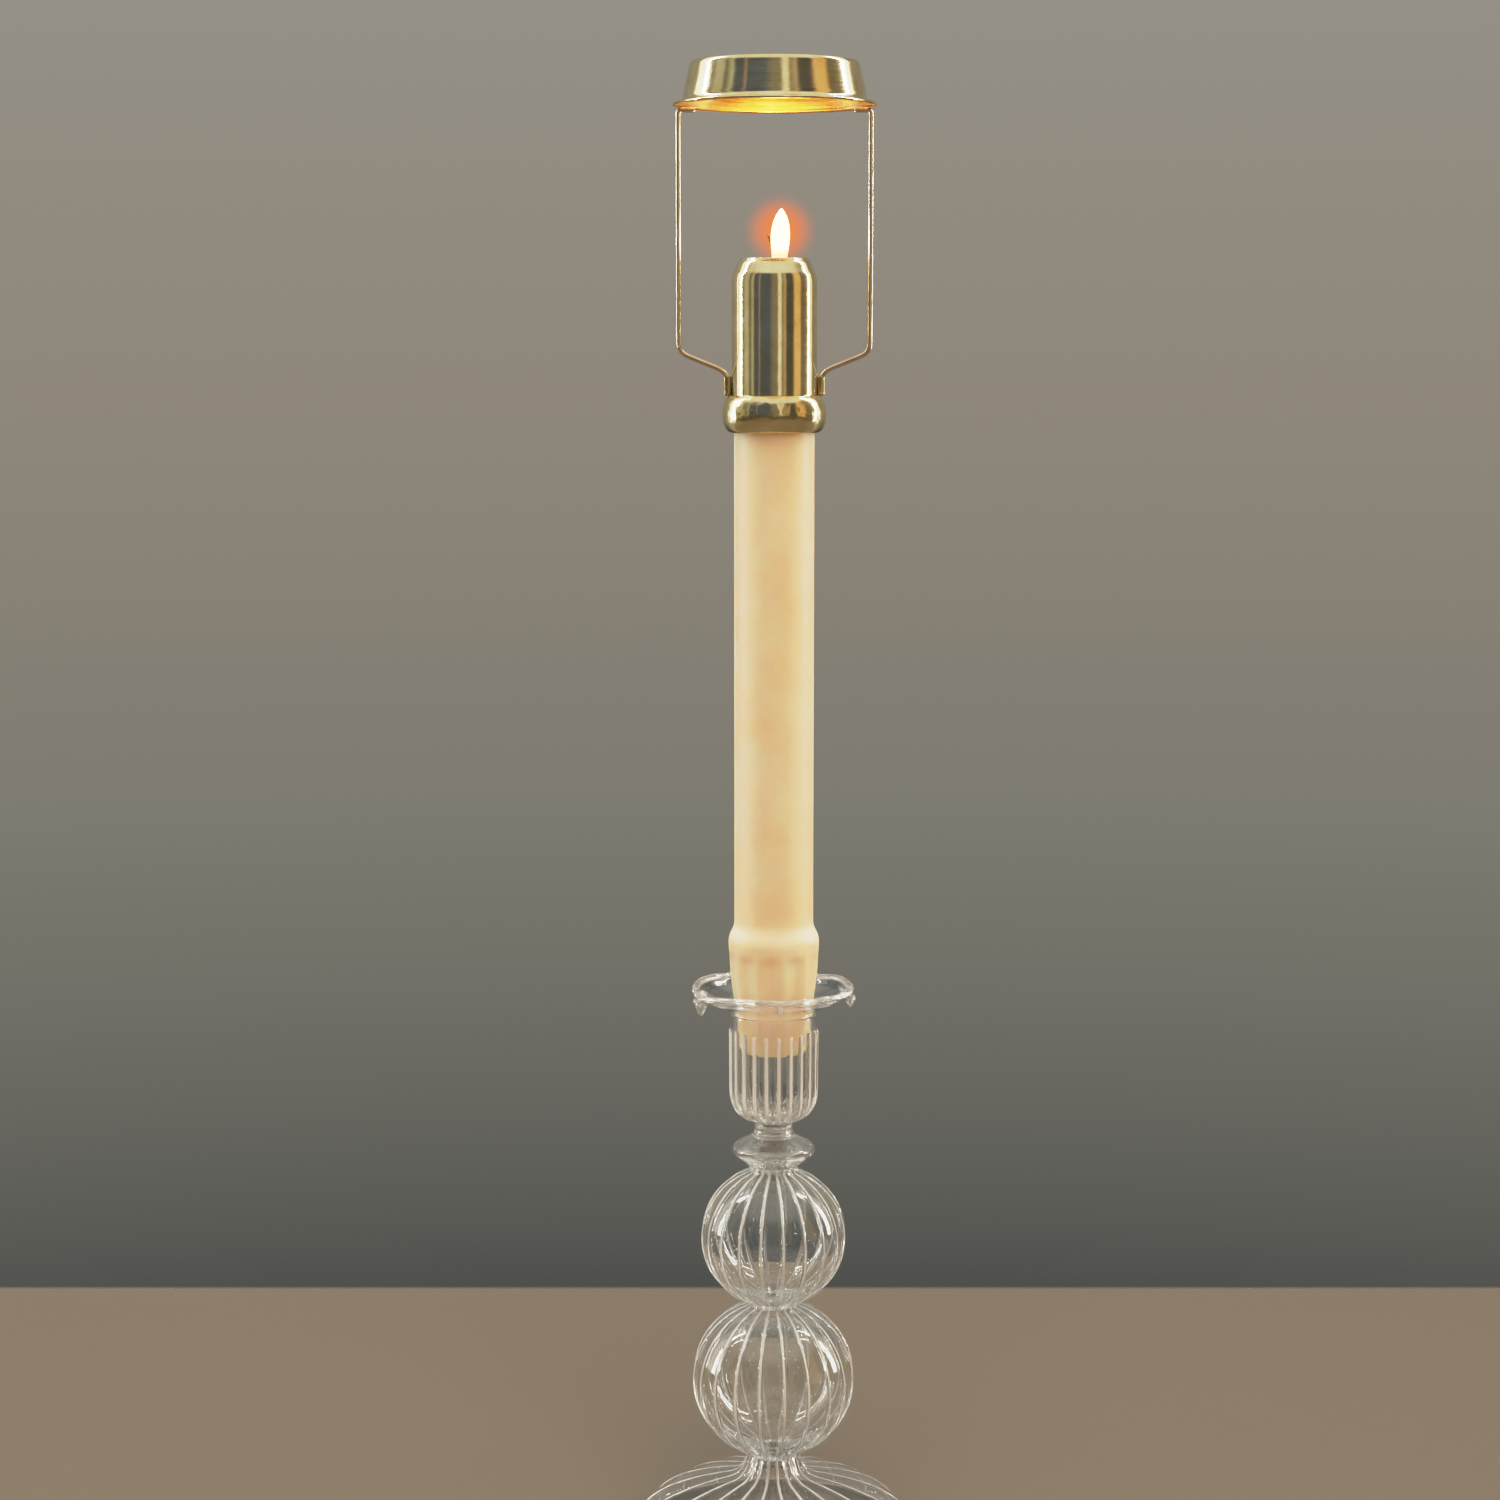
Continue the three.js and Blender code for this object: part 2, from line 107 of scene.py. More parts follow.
WALL_GIVES_WAY = (0.80, 0.62)
CEILING = "fff6e7"
CEILING_STARTS = (0.52, 0.70)
TABLE_PALE = "665f57"
TABLE_BACK_EDGE = 0.2225
TABLE_EDGE_ROUND = 0.002
TABLE_SIZE = 12.0
# Bright light is shown softly: pairs of the light that comes in and the light that is shown.
LIGHT_TO_SHOWN = ((0, 0), (0.6, 0.6), (1.0, 0.78), (1.6, 0.86), (3.0, 0.91), (6.0, 0.96), (12.0, 1.0))


def srgb(code):
    """Linear colour of an sRGB hex code: c / 12.92 up to 0.04045, else ((c + 0.055) / 1.055) ^ 2.4."""
    parts = np.array([int(code[i:i + 2], 16) for i in (0, 2, 4)]) / 255
    linear = np.where(parts <= 0.04045, parts / 12.92, ((parts + 0.055) / 1.055) ** 2.4)
    return (*linear, 1.0)


def add_node(tree, kind, settings=None, links=None, stops=()):
    """Adds a node, sets its sockets and properties by name, and links outputs into its sockets. stops
    are the (place, hex colour) pairs of a colour ramp, from low to high."""
    node = tree.nodes.new(kind)
    for name, value in (settings or {}).items():
        if isinstance(name, int) or name in node.inputs:
            node.inputs[name].default_value = value
        else:
            setattr(node, name, value)
    for name, source in (links or {}).items():
        tree.links.new(source, node.inputs[name])
    for _ in stops[2:]:
        node.color_ramp.elements.new(1.0)
    for number, (place, code) in enumerate(stops):
        node.color_ramp.elements[number].position = place
        node.color_ramp.elements[number].color = srgb(code)
    return node


def empty_material(name):
    """A material with only its output node, and that node."""
    material = bpy.data.materials.new(name)
    material.use_nodes = True
    material.node_tree.nodes.clear()
    return material, add_node(material.node_tree, "ShaderNodeOutputMaterial")


world = bpy.data.worlds.new("room")
bpy.context.scene.world = world
world.use_nodes = True
sky = world.node_tree
sky.nodes.clear()
direction = add_node(sky, "ShaderNodeTexCoord")
split = add_node(sky, "ShaderNodeSeparateXYZ", links={0: direction.outputs["Generated"]})
wall_low, wall_high = WALL[0][0], WALL[-1][0]
height = add_node(
    sky, "ShaderNodeMapRange", {"From Min": wall_low, "From Max": wall_high}, {"Value": split.outputs["Z"]}
)
wall = add_node(
    sky,
    "ShaderNodeValToRGB",
    links={"Fac": height.outputs[0]},
    stops=[((level - wall_low) / (wall_high - wall_low), code) for level, code in WALL],
)
front = add_node(sky, "ShaderNodeMath", {"operation": "MULTIPLY", 1: -1.0}, {0: split.outputs["Y"]})
azimuth = add_node(
    sky, "ShaderNodeMath", {"operation": "ARCTAN2"}, {0: split.outputs["X"], 1: front.outputs[0]}
)
turn = add_node(
    sky, "ShaderNodeMapRange", {"From Min": -np.pi, "From Max": np.pi}, {"Value": azimuth.outputs[0]}
)
around = add_node(
    sky,
    "ShaderNodeValToRGB",
    links={"Fac": turn.outputs[0]},
    stops=[(angle / 360 + 0.5, code) for angle, code in ROUND_THE_ROOM],
)
aside = add_node(
    sky,
    "ShaderNodeMapRange",
    {"From Min": WALL_GIVES_WAY[0], "From Max": WALL_GIVES_WAY[1]},
    {"Value": split.outputs["Y"]},
)
sides = add_node(
    sky,
    "ShaderNodeMix",
    {"data_type": "RGBA"},
    {"Factor": aside.outputs[0], 6: wall.outputs[0], 7: around.outputs[0]},
)
overhead = add_node(
    sky,
    "ShaderNodeMapRange",
    {"From Min": CEILING_STARTS[0], "From Max": CEILING_STARTS[1]},
    {"Value": split.outputs["Z"]},
)
whole_room = add_node(
    sky,
    "ShaderNodeMix",
    {"data_type": "RGBA", 7: srgb(CEILING)},
    {"Factor": overhead.outputs[0], 6: sides.outputs[2]},
)
glow = add_node(sky, "ShaderNodeBackground", {"Strength": 1.0}, {"Color": whole_room.outputs[2]})
add_node(sky, "ShaderNodeOutputWorld", links={"Surface": glow.outputs[0]})

view = bpy.context.scene.view_settings
view.use_curve_mapping = True
view.curve_mapping.white_level = [LIGHT_TO_SHOWN[-1][0]] * 3
response = view.curve_mapping.curves[3]
for light, shown in LIGHT_TO_SHOWN[1:-1]:
    response.points.new(light / LIGHT_TO_SHOWN[-1][0], shown)
for point in response.points:
    point.handle_type = "VECTOR"
view.curve_mapping.update()

# A plain painted board: matt and even, and cut off straight behind, where it turns clear.
table_paint, table_out = empty_material("pale_table_top")
tree = table_paint.node_tree
where = add_node(tree, "ShaderNodeTexCoord").outputs["Object"]
split = add_node(tree, "ShaderNodeSeparateXYZ", links={0: where})
past_edge = add_node(
    tree,
    "ShaderNodeMapRange",
    {"From Min": TABLE_BACK_EDGE - TABLE_EDGE_ROUND, "From Max": TABLE_BACK_EDGE + TABLE_EDGE_ROUND},
    {"Value": split.outputs["Y"]},
)
matt = add_node(tree, "ShaderNodeBsdfDiffuse", {"Color": srgb(TABLE_PALE)})
gone = add_node(tree, "ShaderNodeBsdfTransparent")
both = add_node(
    tree, "ShaderNodeMixShader", links={0: past_edge.outputs[0], 1: matt.outputs[0], 2: gone.outputs[0]}
)
tree.links.new(both.outputs[0], table_out.inputs["Surface"])
bpy.ops.mesh.primitive_plane_add(size=TABLE_SIZE)
table = bpy.context.object
table.name = "table_top"
table.data.materials.append(table_paint)


# Each window is two lights: a dim one that is only mirrored, and a strong one that only lights. The
# panes are narrow and very bright, and draw the fine white lines in the glass.
MIDDLE = (0, 0, 0.25)
WINDOW_SILL = -0.03
WINDOW_HEIGHT = 1.4
WINDOWS = ((-110, 0.34, "fff8ea"), (109, 0.30, "fff2dc"))
WINDOW_SHINE = 2.0
DAYLIGHT_HEIGHT = 1.0
DAYLIGHT = 14
PANES = ((-101, 0.04), (104, 0.045))
PANE_SHINE = 60
ROOM_LIGHTS = (
    ("front_fill", (0.35, -1.3, 0.8), 1.0, 2.6, "ffdcb4"),
    ("ceiling_light", (0, -0.5, 1.7), 0.8, 9.0, "fff4e4"),
)


def soft_box(name, place, size, radiance, colour="ffffff", mirrored=True, lights=True):
    """A rectangular light that faces the middle of the stem. Its power is pi times its area times the
    radiance wanted from its face. It may be kept out of mirrorings, or out of the lighting of matt
    surfaces."""
    data = bpy.data.lights.new(name, "AREA")
    data.shape = "RECTANGLE"
    data.size, data.size_y = size
    data.energy = np.pi * size[0] * size[1] * radiance
    data.color = srgb(colour)[:3]
    light = bpy.data.objects.new(name, data)
    light.location = place
    light.rotation_euler = (Vector(MIDDLE) - Vector(place)).to_track_quat("-Z", "Y").to_euler()
    light.visible_camera = False
    light.visible_diffuse = lights
    light.visible_glossy = mirrored
    light.visible_transmission = mirrored
    bpy.context.scene.collection.objects.link(light)


def beside(angle):
    """A window's middle, one metre from the stem: x = sin a, y = -cos a, z = its sill and half height."""
    return np.sin(np.radians(angle)), -np.cos(np.radians(angle)), WINDOW_SILL + WINDOW_HEIGHT / 2


for number, (angle, width, colour) in enumerate(WINDOWS):
    spot = beside(angle)
    soft_box(f"window_{number}", spot, (width, WINDOW_HEIGHT), WINDOW_SHINE, colour, lights=False)
    soft_box(f"daylight_{number}", spot, (width, DAYLIGHT_HEIGHT), DAYLIGHT, colour, mirrored=False)
for number, (angle, width) in enumerate(PANES):
    soft_box(f"pane_{number}", beside(angle), (width, WINDOW_HEIGHT), PANE_SHINE, lights=False)
for name, spot, width, radiance, colour in ROOM_LIGHTS:
    soft_box(name, spot, (width, width), radiance, colour, mirrored=False)


# ---- Foot ----
# One gather of clear soda-lime glass, blown into a mould with twenty ribs, spread into a bell with a
# fire-polished rim, and flared up into a short neck. The wall is thicker there, where the ball is
# joined on hot.
MM = 0.001
SAME_POINT = 2e-7
STEM_RIBS = 20
FIRST_RIB = np.radians(7.5)
RIB_HALF_WIDTH = 0.55
RIB_HEIGHT = 0.45
# The rib crests, from this share of their height up, scatter this share of light white: a painted
# highlight.
RIB_FACE_FROM = 0.55
RIB_HIGHLIGHT_HAZE = 0.4
GLASS_TINT = "fdfefd"
GLASS_IOR = 1.5
BREATH_WAVE = 0.05
BREATH_WAVE_SIZE = 9
GLASS_WALL = 1.2
NECK_GATHER = 1.3
GATHER_LENGTH = 3.0
FOOT_RIM_HEIGHT = 3.6
FOOT_DOME_HEIGHT = 16.8
FOOT_FLARE_RADIUS = 11.6
FOOT_NECK_RADIUS = 7.1
SEAM_LAP = 0.02


def bezier(start, corner, end, steps):
    """Points (1 - t)^2 start + 2 t (1 - t) corner + t^2 end, at even steps of t from 0 to 1."""
    t = np.linspace(0, 1, steps + 1)[:, None]
    return (1 - t) ** 2 * np.array(start) + 2 * t * (1 - t) * np.array(corner) + t ** 2 * np.array(end)


def arc(centre, radius, start, end, steps):
    """Points centre + radius (cos a, sin a), at even steps of a from start to end."""
    a = np.linspace(start, end, steps + 1)
    return np.array(centre) + radius * np.column_stack([np.cos(a), np.sin(a)])


def stepped(corners, spacing):
    """A line through the corners, walked in even steps of about the spacing."""
    corners = np.array(corners, float)
    along = np.concatenate([[0], np.cumsum(np.linalg.norm(np.diff(corners, axis=0), axis=1))])
    steps = np.linspace(0, along[-1], max(2, round(along[-1] / spacing)) + 1)
    return np.column_stack([np.interp(steps, along, column) for column in corners.T])


def inner_side(outer, wall):
    """The outline moved inwards by the wall along (-dz, dr), and walked back down. Its ends stay level.
    The wall is one thickness, or one for each point."""
    step = np.gradient(outer, axis=0)
    step /= np.linalg.norm(step, axis=1)[:, None]
    step[[0, -1]] = (0, 1)
    return (outer + np.column_stack([-wall * step[:, 1], wall * step[:, 0]]))[::-1]


def eased(values, passes, closed=True):
    """Moves each row to half itself plus a quarter of each neighbour, passes times. Open ends stay."""
    values = np.array(values, float)
    for _ in range(passes):
        blended = (np.roll(values, 1, 0) + 2 * values + np.roll(values, -1, 0)) / 4
        if not closed:
            blended[[0, -1]] = values[[0, -1]]
        values = blended
    return values


def skin(name, grid, wrap_rows=False):
    """A smooth mesh of four-sided faces over a grid of points in millimetres. The columns, and the rows
    if they are wrapped, join up with their start. Otherwise points that coincide at a pole are merged."""
    rows, columns = grid.shape[:2]
    row = np.arange(rows if wrap_rows else rows - 1)[:, None]
    column = np.arange(columns)[None, :]
    row_after = (row + 1) % rows
    column_after = (column + 1) % columns
    corners = [
        row * columns + column,
        row * columns + column_after,
        row_after * columns + column_after,
        row_after * columns + column,
    ]
    faces = np.stack(np.broadcast_arrays(*corners), axis=-1).reshape(-1, 4)
    mesh = bpy.data.meshes.new(name)
    mesh.vertices.add(rows * columns)
    mesh.vertices.foreach_set("co", (grid * MM).astype(np.float32).ravel())
    mesh.loops.add(faces.size)
    mesh.loops.foreach_set("vertex_index", faces.astype(np.int32).ravel())
    mesh.polygons.add(len(faces))
    mesh.polygons.foreach_set("loop_start", np.arange(0, faces.size, 4, dtype=np.int32))
    mesh.update(calc_edges=True)
    if not wrap_rows:
        shell = bmesh.new()
        shell.from_mesh(mesh)
        bmesh.ops.remove_doubles(shell, verts=shell.verts, dist=SAME_POINT)
        shell.to_mesh(mesh)
        shell.free()
    mesh.polygons.foreach_set("use_smooth", np.ones(len(mesh.polygons), bool))
    piece = bpy.data.objects.new(name, mesh)
    bpy.context.scene.collection.objects.link(piece)
    return piece


def turned(name, section, angles, relief=0.0, lift=0.0, closed=True):
    """Turns a section of (r, z) rows about the stem. With a measured round from the front, a point is at
    x = (r + relief) sin a, y = -(r + relief) cos a, z = z + lift."""
    radius = section[:, :1] + relief + 0 * angles
    level = section[:, 1:] + lift + 0 * angles
    grid = np.stack([radius * np.sin(angles), -radius * np.cos(angles), level], axis=-1)
    return skin(name, grid, wrap_rows=closed)


def rib_angles(ribs, first, per_rib):
    """Angles round the stem, drawn together on the ribs: u from -1 to 1 becomes 0.15 u + 0.85 u^3."""
    u = np.linspace(-1, 1, per_rib, endpoint=False)
    return (first + (np.arange(ribs)[:, None] + (0.15 * u + 0.85 * u ** 3) / 2) * 2 * np.pi / ribs).ravel()


def rib_relief(section, share, angles, ribs, first, half_width, height):
    """height (1 - (d / w)^2), where d is the way round to the nearest rib and w its half width, which
    is held to 0.45 of the spacing. share says how far each row of the section takes part."""
    turns = (angles - first) * ribs / (2 * np.pi)
    spacing = 2 * np.pi * np.maximum(section[:, :1], 0.1) / ribs
    distance = np.abs(turns - np.round(turns)) * spacing
    width = np.minimum(half_width, 0.45 * spacing)
    return height * np.clip(1 - (distance / width) ** 2, 0, 1) * share[:, None]


def levels(node):
    """Lowest and highest level of a CAD node, in millimetres."""
    low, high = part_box(node)
    return low.z / MM, high.z / MM


def blown_glass(name, wave=BREATH_WAVE, wave_size=BREATH_WAVE_SIZE, haze=0.0):
    """Clear blown glass: fire-polished and smooth, with slow waves left by the breath and the tools.
    wave is the bump's depth and wave_size the waves' length, both in millimetres. haze is the share of
    light that the glass scatters white."""
    material, out = empty_material(name)
    tree = material.node_tree
    where = add_node(tree, "ShaderNodeTexCoord").outputs["Object"]
    slow = add_node(
        tree,
        "ShaderNodeTexNoise",
        {"Scale": 1 / (wave_size * MM), "Detail": 1.0, "Roughness": 0.4},
        {"Vector": where},
    )
    bump = add_node(
        tree, "ShaderNodeBump", {"Strength": 1.0, "Distance": wave * MM}, {"Height": slow.outputs["Fac"]}
    )
    glass = add_node(
        tree,
        "ShaderNodeBsdfPrincipled",
        {
            "Base Color": srgb(GLASS_TINT),
            "Roughness": 0.0,
            "IOR": GLASS_IOR,
            "Transmission Weight": 1.0 - haze,
        },
        {"Normal": bump.outputs["Normal"]},
    )
    tree.links.new(glass.outputs[0], out.inputs["Surface"])
    return material


def glass_piece(piece, material, *nodes):
    """Gives a glass piece its material, and says which CAD nodes it stands for."""
    piece.data.materials.append(material)
    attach(piece, "candlestick")
    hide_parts(*nodes)


# Soda-lime glass, blown and fire-polished: clear and bright, and it bends what is seen through it.
soda_glass = blown_glass("soda_lime_blown_glass")
# The crests of the ribs hold a share of white scatter, a painted highlight: they catch the light along
# their length, which the eye takes for fine white lines, and the scatter draws those lines.
rib_highlight_glass = blown_glass("rib_highlight_haze_glass", haze=RIB_HIGHLIGHT_HAZE)


def second_material(piece, material, chosen):
    """Gives the chosen faces, a yes or no for each point of the piece's grid, a second material."""
    piece.data.materials.append(material)
    chosen = np.ravel(chosen)[:len(piece.data.polygons)]
    piece.data.polygons.foreach_set("material_index", chosen.astype(np.int32))


def ribbed(name, outline, thick_ends, rim_passes=0, per_rib=24):
    """A piece of the ribbed shell, with its glass, from its outer outline. It has no ribs on the inside.
    The wall is GLASS_WALL plus NECK_GATHER exp(-d / GATHER_LENGTH), with d the way up or down to each
    of the levels thick_ends. Its lower edge is eased round rim_passes times. Its upper end stays flat."""
    wall = np.full(len(outline), GLASS_WALL)
    for end in thick_ends:
        wall += NECK_GATHER * np.exp(-np.abs(outline[:, 1] - end) / GATHER_LENGTH)
    inner = inner_side(outline, wall)
    share = np.concatenate([np.zeros(len(inner)), np.ones(len(outline))])
    if rim_passes:
        share[len(inner)] = 0
    section = eased(np.concatenate([inner, outline]), rim_passes, closed=False)
    share = eased(share, rim_passes, closed=False)
    angles = rib_angles(STEM_RIBS, FIRST_RIB, per_rib)
    relief = rib_relief(section, share, angles, STEM_RIBS, FIRST_RIB, RIB_HALF_WIDTH, RIB_HEIGHT)
    piece = turned(name, section, angles, relief)
    glass_piece(piece, soda_glass, name)
    # The rib crests take the white-scattering glass: a painted highlight.
    second_material(piece, rib_highlight_glass, relief > RIB_FACE_FROM * RIB_HEIGHT)


foot_low, foot_high = levels("foot")
foot_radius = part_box("foot")[1].x / MM - RIB_HEIGHT
rim_top = (foot_radius - 0.2, FOOT_RIM_HEIGHT)
dome_corner = (foot_radius - 5, (FOOT_RIM_HEIGHT + FOOT_DOME_HEIGHT + 4) / 2)
flare = (FOOT_FLARE_RADIUS, FOOT_DOME_HEIGHT)
flare_corner = (FOOT_NECK_RADIUS + 0.9, FOOT_DOME_HEIGHT + 1.1)
foot_neck = (FOOT_NECK_RADIUS, foot_high + SEAM_LAP)
foot_outline = np.concatenate([
    [(foot_radius - 0.8, foot_low), (foot_radius, FOOT_RIM_HEIGHT * 0.4)],
    bezier(rim_top, dome_corner, flare, 24),
    bezier(flare, flare_corner, foot_neck, 12)[1:],
])
ribbed("foot", stepped(foot_outline, 0.8), (foot_high,), rim_passes=3)


# ---- Balls ----
# Two bulbs blown in the same ribbed mould, the smaller above the larger, each drawn in to a short
# neck at both ends and joined hot to its neighbour, with a thicker wall next to the joint.
WAIST_RADIUS = 6.9
STEM_TOP_RADIUS = 6.4


def ball(name, bottom_neck, top_neck):
    """A ribbed sphere between two necks: r^2 + (z - centre)^2 = radius^2, down to each neck's radius."""
    low, high = levels(name)
    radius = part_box(name)[1].x / MM - RIB_HEIGHT
    chords = [np.sqrt(radius ** 2 - neck ** 2) for neck in (bottom_neck, top_neck)]
    collar = (high - low - sum(chords)) / (1 if name == "lower_ball" else 2)
    centre = low + collar + chords[0]
    leave, arrive = -np.arccos(bottom_neck / radius), np.arccos(top_neck / radius)
    outline = np.concatenate([
        [(bottom_neck, low - SEAM_LAP)],
        arc((0, centre), radius, leave, arrive, 90),
        [(top_neck, high + SEAM_LAP)],
    ])
    ribbed(name, stepped(outline, 1.0), (low, high) if name == "lower_ball" else (low,))


ball("lower_ball", FOOT_NECK_RADIUS, WAIST_RADIUS)
ball("upper_ball", WAIST_RADIUS, STEM_TOP_RADIUS)


# ---- Collar disc and neck ----
# A small bulb pressed flat into a hollow disc with a thick round edge, and above it a short hollow
# neck with turned rings, which the glassmaker's jacks leave where the cup is set on.
DISC_EDGE = 3.6
DISC_UNDERSIDE = 3.4
DISC_WALL = 1.1
NECK_RADIUS = 5.1
NECK_FLARE = 0.8
RING_RISE = 0.3
RING_WIDTH = 0.45
RING_HEIGHTS = (0.9, 2.5)
TOOL_WAVE = 0.22
TOOL_WAVE_SIZE = 2.6

# The same glass, squeezed and turned with wooden paddles and jacks. The tools leave it finely rippled,
# so it breaks up what is seen through it.
worked_glass = blown_glass("tooled_clear_glass", TOOL_WAVE, TOOL_WAVE_SIZE)
plain_angles = np.linspace(0, 2 * np.pi, 160, endpoint=False)
disc_low, disc_high = levels("collar_disc")
disc_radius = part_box("collar_disc")[1].x / MM
disc_middle = disc_low + DISC_UNDERSIDE + DISC_EDGE / 2
disc_outline = np.concatenate([
    [(STEM_TOP_RADIUS, disc_low - SEAM_LAP)],
    arc((disc_radius - DISC_EDGE / 2, disc_middle), DISC_EDGE / 2, -np.pi / 2.3, np.pi / 2.3, 20),
    [(NECK_RADIUS + NECK_FLARE + 0.6, disc_high - 0.5), (NECK_RADIUS + NECK_FLARE, disc_high + SEAM_LAP)],
])
disc_outline = eased(stepped(disc_outline, 0.3), 4, closed=False)
disc_section = eased(np.concatenate([disc_outline, inner_side(disc_outline, DISC_WALL)]), 1)
disc = turned("collar_disc", disc_section, plain_angles)
glass_piece(disc, worked_glass, "collar_disc")

neck_low, neck_high = levels("neck")
neck_outline = stepped(
    bezier(
        (NECK_RADIUS + NECK_FLARE, neck_low - SEAM_LAP),
        (NECK_RADIUS - 0.4, neck_low + 1.6),
        (NECK_RADIUS + 0.1, neck_high + SEAM_LAP),
        12,
    ),
    0.2,
)
for ring_height in RING_HEIGHTS:
    off_ring = neck_outline[:, 1] - neck_low - ring_height
    neck_outline[:, 0] += RING_RISE * np.exp(-(off_ring / RING_WIDTH) ** 2)
neck_section = eased(np.concatenate([neck_outline, inner_side(neck_outline, DISC_WALL)]), 1)
neck = turned("neck", neck_section, plain_angles)
glass_piece(neck, worked_glass, "neck")


# ---- Cup ----
# A deep round-bottomed cup with a thick floor, blown into a mould with twenty-two broad ribs. They
# start with round shoulders a little below the drip pan and run together under the bowl.
CUP_RIBS = 22
CUP_FIRST_RIB = np.radians(6)
CUP_RIB_HALF_WIDTH = 0.8
CUP_RIB_HEIGHT = 0.6
# White scatter on the cup's rib crests: a painted highlight.
CUP_RIB_HIGHLIGHT_HAZE = 0.75
CUP_RADIUS = 12.0
MOUTH_RADIUS = 11.0
CUP_FLOOR = 2.2
CUP_BOWL_HEIGHT = 9
RIB_SHOULDER = 4.6

cup_low, cup_high = levels("cup")
cup_mouth = MOUTH_RADIUS + GLASS_WALL
cup_outline = np.concatenate([
    [(0, cup_low)],
    bezier(
        (NECK_RADIUS + 0.1, cup_low),
        (CUP_RADIUS, cup_low + 1.2),
        (CUP_RADIUS, cup_low + CUP_BOWL_HEIGHT),
        20,
    ),
    [(CUP_RADIUS + 0.1, cup_high - 5), (cup_mouth, cup_high + SEAM_LAP)],
])
cup_inside = np.concatenate([
    [(MOUTH_RADIUS, cup_high + SEAM_LAP)],
    bezier(
        (CUP_RADIUS - GLASS_WALL, cup_low + CUP_BOWL_HEIGHT + 0.6),
        (CUP_RADIUS - GLASS_WALL, cup_low + CUP_FLOOR + 0.2),
        (3, cup_low + CUP_FLOOR + 0.2),
        16,
    ),
    [(0, cup_low + CUP_FLOOR)],
])
cup_outer_rows = stepped(cup_outline, 0.4)
cup_section = np.concatenate([cup_outer_rows, stepped(cup_inside, 0.4)])
cup_section = eased(cup_section, 2, closed=False)
outer_share = np.clip((cup_high - RIB_SHOULDER - cup_outer_rows[:, 1]) / 1.2, 0, 1)
outer_share = np.sqrt(outer_share) * np.clip((cup_outer_rows[:, 0] - 4) / 3, 0, 1)
cup_share = np.concatenate([outer_share, np.zeros(len(cup_section) - len(cup_outer_rows))])
cup_angles = rib_angles(CUP_RIBS, CUP_FIRST_RIB, 18)
cup_relief = rib_relief(
    cup_section, cup_share, cup_angles, CUP_RIBS, CUP_FIRST_RIB, CUP_RIB_HALF_WIDTH, CUP_RIB_HEIGHT
)
cup = turned("cup", cup_section, cup_angles, cup_relief, closed=False)
glass_piece(cup, soda_glass, "cup")
# A painted highlight on the cup's rib crests: the same white scatter, broader and stronger, and set off by
# the wax behind them, so they read whiter.
cup_rib_highlight_glass = blown_glass("cup_rib_highlight_haze_glass", haze=CUP_RIB_HIGHLIGHT_HAZE)
second_material(cup, cup_rib_highlight_glass, cup_relief > RIB_FACE_FROM * CUP_RIB_HEIGHT)


# ---- Drip pan ----
# The cup's mouth is spread into a pan with a rounded, rolled rim. It was shaped by hand while soft, so
# the rim waves up and down a little, is nowhere quite round, and is pulled down at the five drops.
PAN_RIM_THICKNESS = 1.8
RIM_WAVES = ((2, 0.35, 0.6), (3, 0.28, 2.1), (5, 0.18, 4.0), (9, 0.10, 1.0), (17, 0.05, 2.0))
RIM_STRAY = 0.8
RIM_STRAY_TURN = 1.3
RIM_DRAWN_IN = 0.45
RIM_PULL = 0.35
RIM_PULL_WIDTH = 0.12
RIM_WAVE = 0.4
RIM_WAVE_SIZE = 2.2
RIM_HAZE = 0.12
DROP_COUNT = 5
FIRST_DROP = np.radians(4)

# The same glass, reheated and rolled over by hand: uneven and full of fine bubbles, so it glints and
# reads a little milky.
rim_glass = blown_glass("seedy_rim_glass", RIM_WAVE, RIM_WAVE_SIZE, RIM_HAZE)


def rim_lift(angles):
    """How far the rim stands above its level: the sum of height sin(n a + start) over RIM_WAVES."""
    return sum(height * np.sin(n * angles + start) for n, height, start in RIM_WAVES)


def drop_swell(angles):
    """1 at each drop's place, falling off as exp(-(d / RIM_PULL_WIDTH)^2) with the angle d from it."""
    turns = (angles - FIRST_DROP) * DROP_COUNT / (2 * np.pi)
    offset = (turns - np.round(turns)) * 2 * np.pi / DROP_COUNT
    return np.exp(-(offset / RIM_PULL_WIDTH) ** 2)


pan_low, pan_high = levels("drip_pan")
pan_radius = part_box("drip_pan")[1].x / MM
rim_half = PAN_RIM_THICKNESS / 2
rim_radius = pan_radius - rim_half
rim_level = pan_high - rim_half
pan_outline = np.concatenate([
    [(cup_mouth, pan_low - SEAM_LAP), (cup_mouth + 1.2, pan_low + 1.7)],
    [(rim_radius - 2.8, rim_level - rim_half - 1.9), (rim_radius - 0.8, rim_level - rim_half)],
    arc((rim_radius, rim_level), rim_half, -np.pi / 2.4, 5 * np.pi / 6, 24),
    [(rim_radius - rim_half - 0.2, rim_level), (rim_radius - 3.4, rim_level - rim_half - 0.6)],
    [(MOUTH_RADIUS + 2.2, pan_low + 3.1), (MOUTH_RADIUS + 0.5, pan_low + 1.8)],
    [(MOUTH_RADIUS, pan_low - SEAM_LAP)],
])
pan_section = eased(stepped(pan_outline, 0.25), 4, closed=False)
pan_angles = np.linspace(0, 2 * np.pi, 288, endpoint=False)
outward = np.clip((pan_section[:, :1] - cup_mouth) / (rim_radius - cup_mouth), 0, 1) ** 2
pan_lift = outward * rim_lift(pan_angles) - RIM_PULL * outward ** 8 * drop_swell(pan_angles)
pan_spread = outward * (RIM_STRAY * rim_lift(pan_angles + RIM_STRAY_TURN) - RIM_DRAWN_IN)
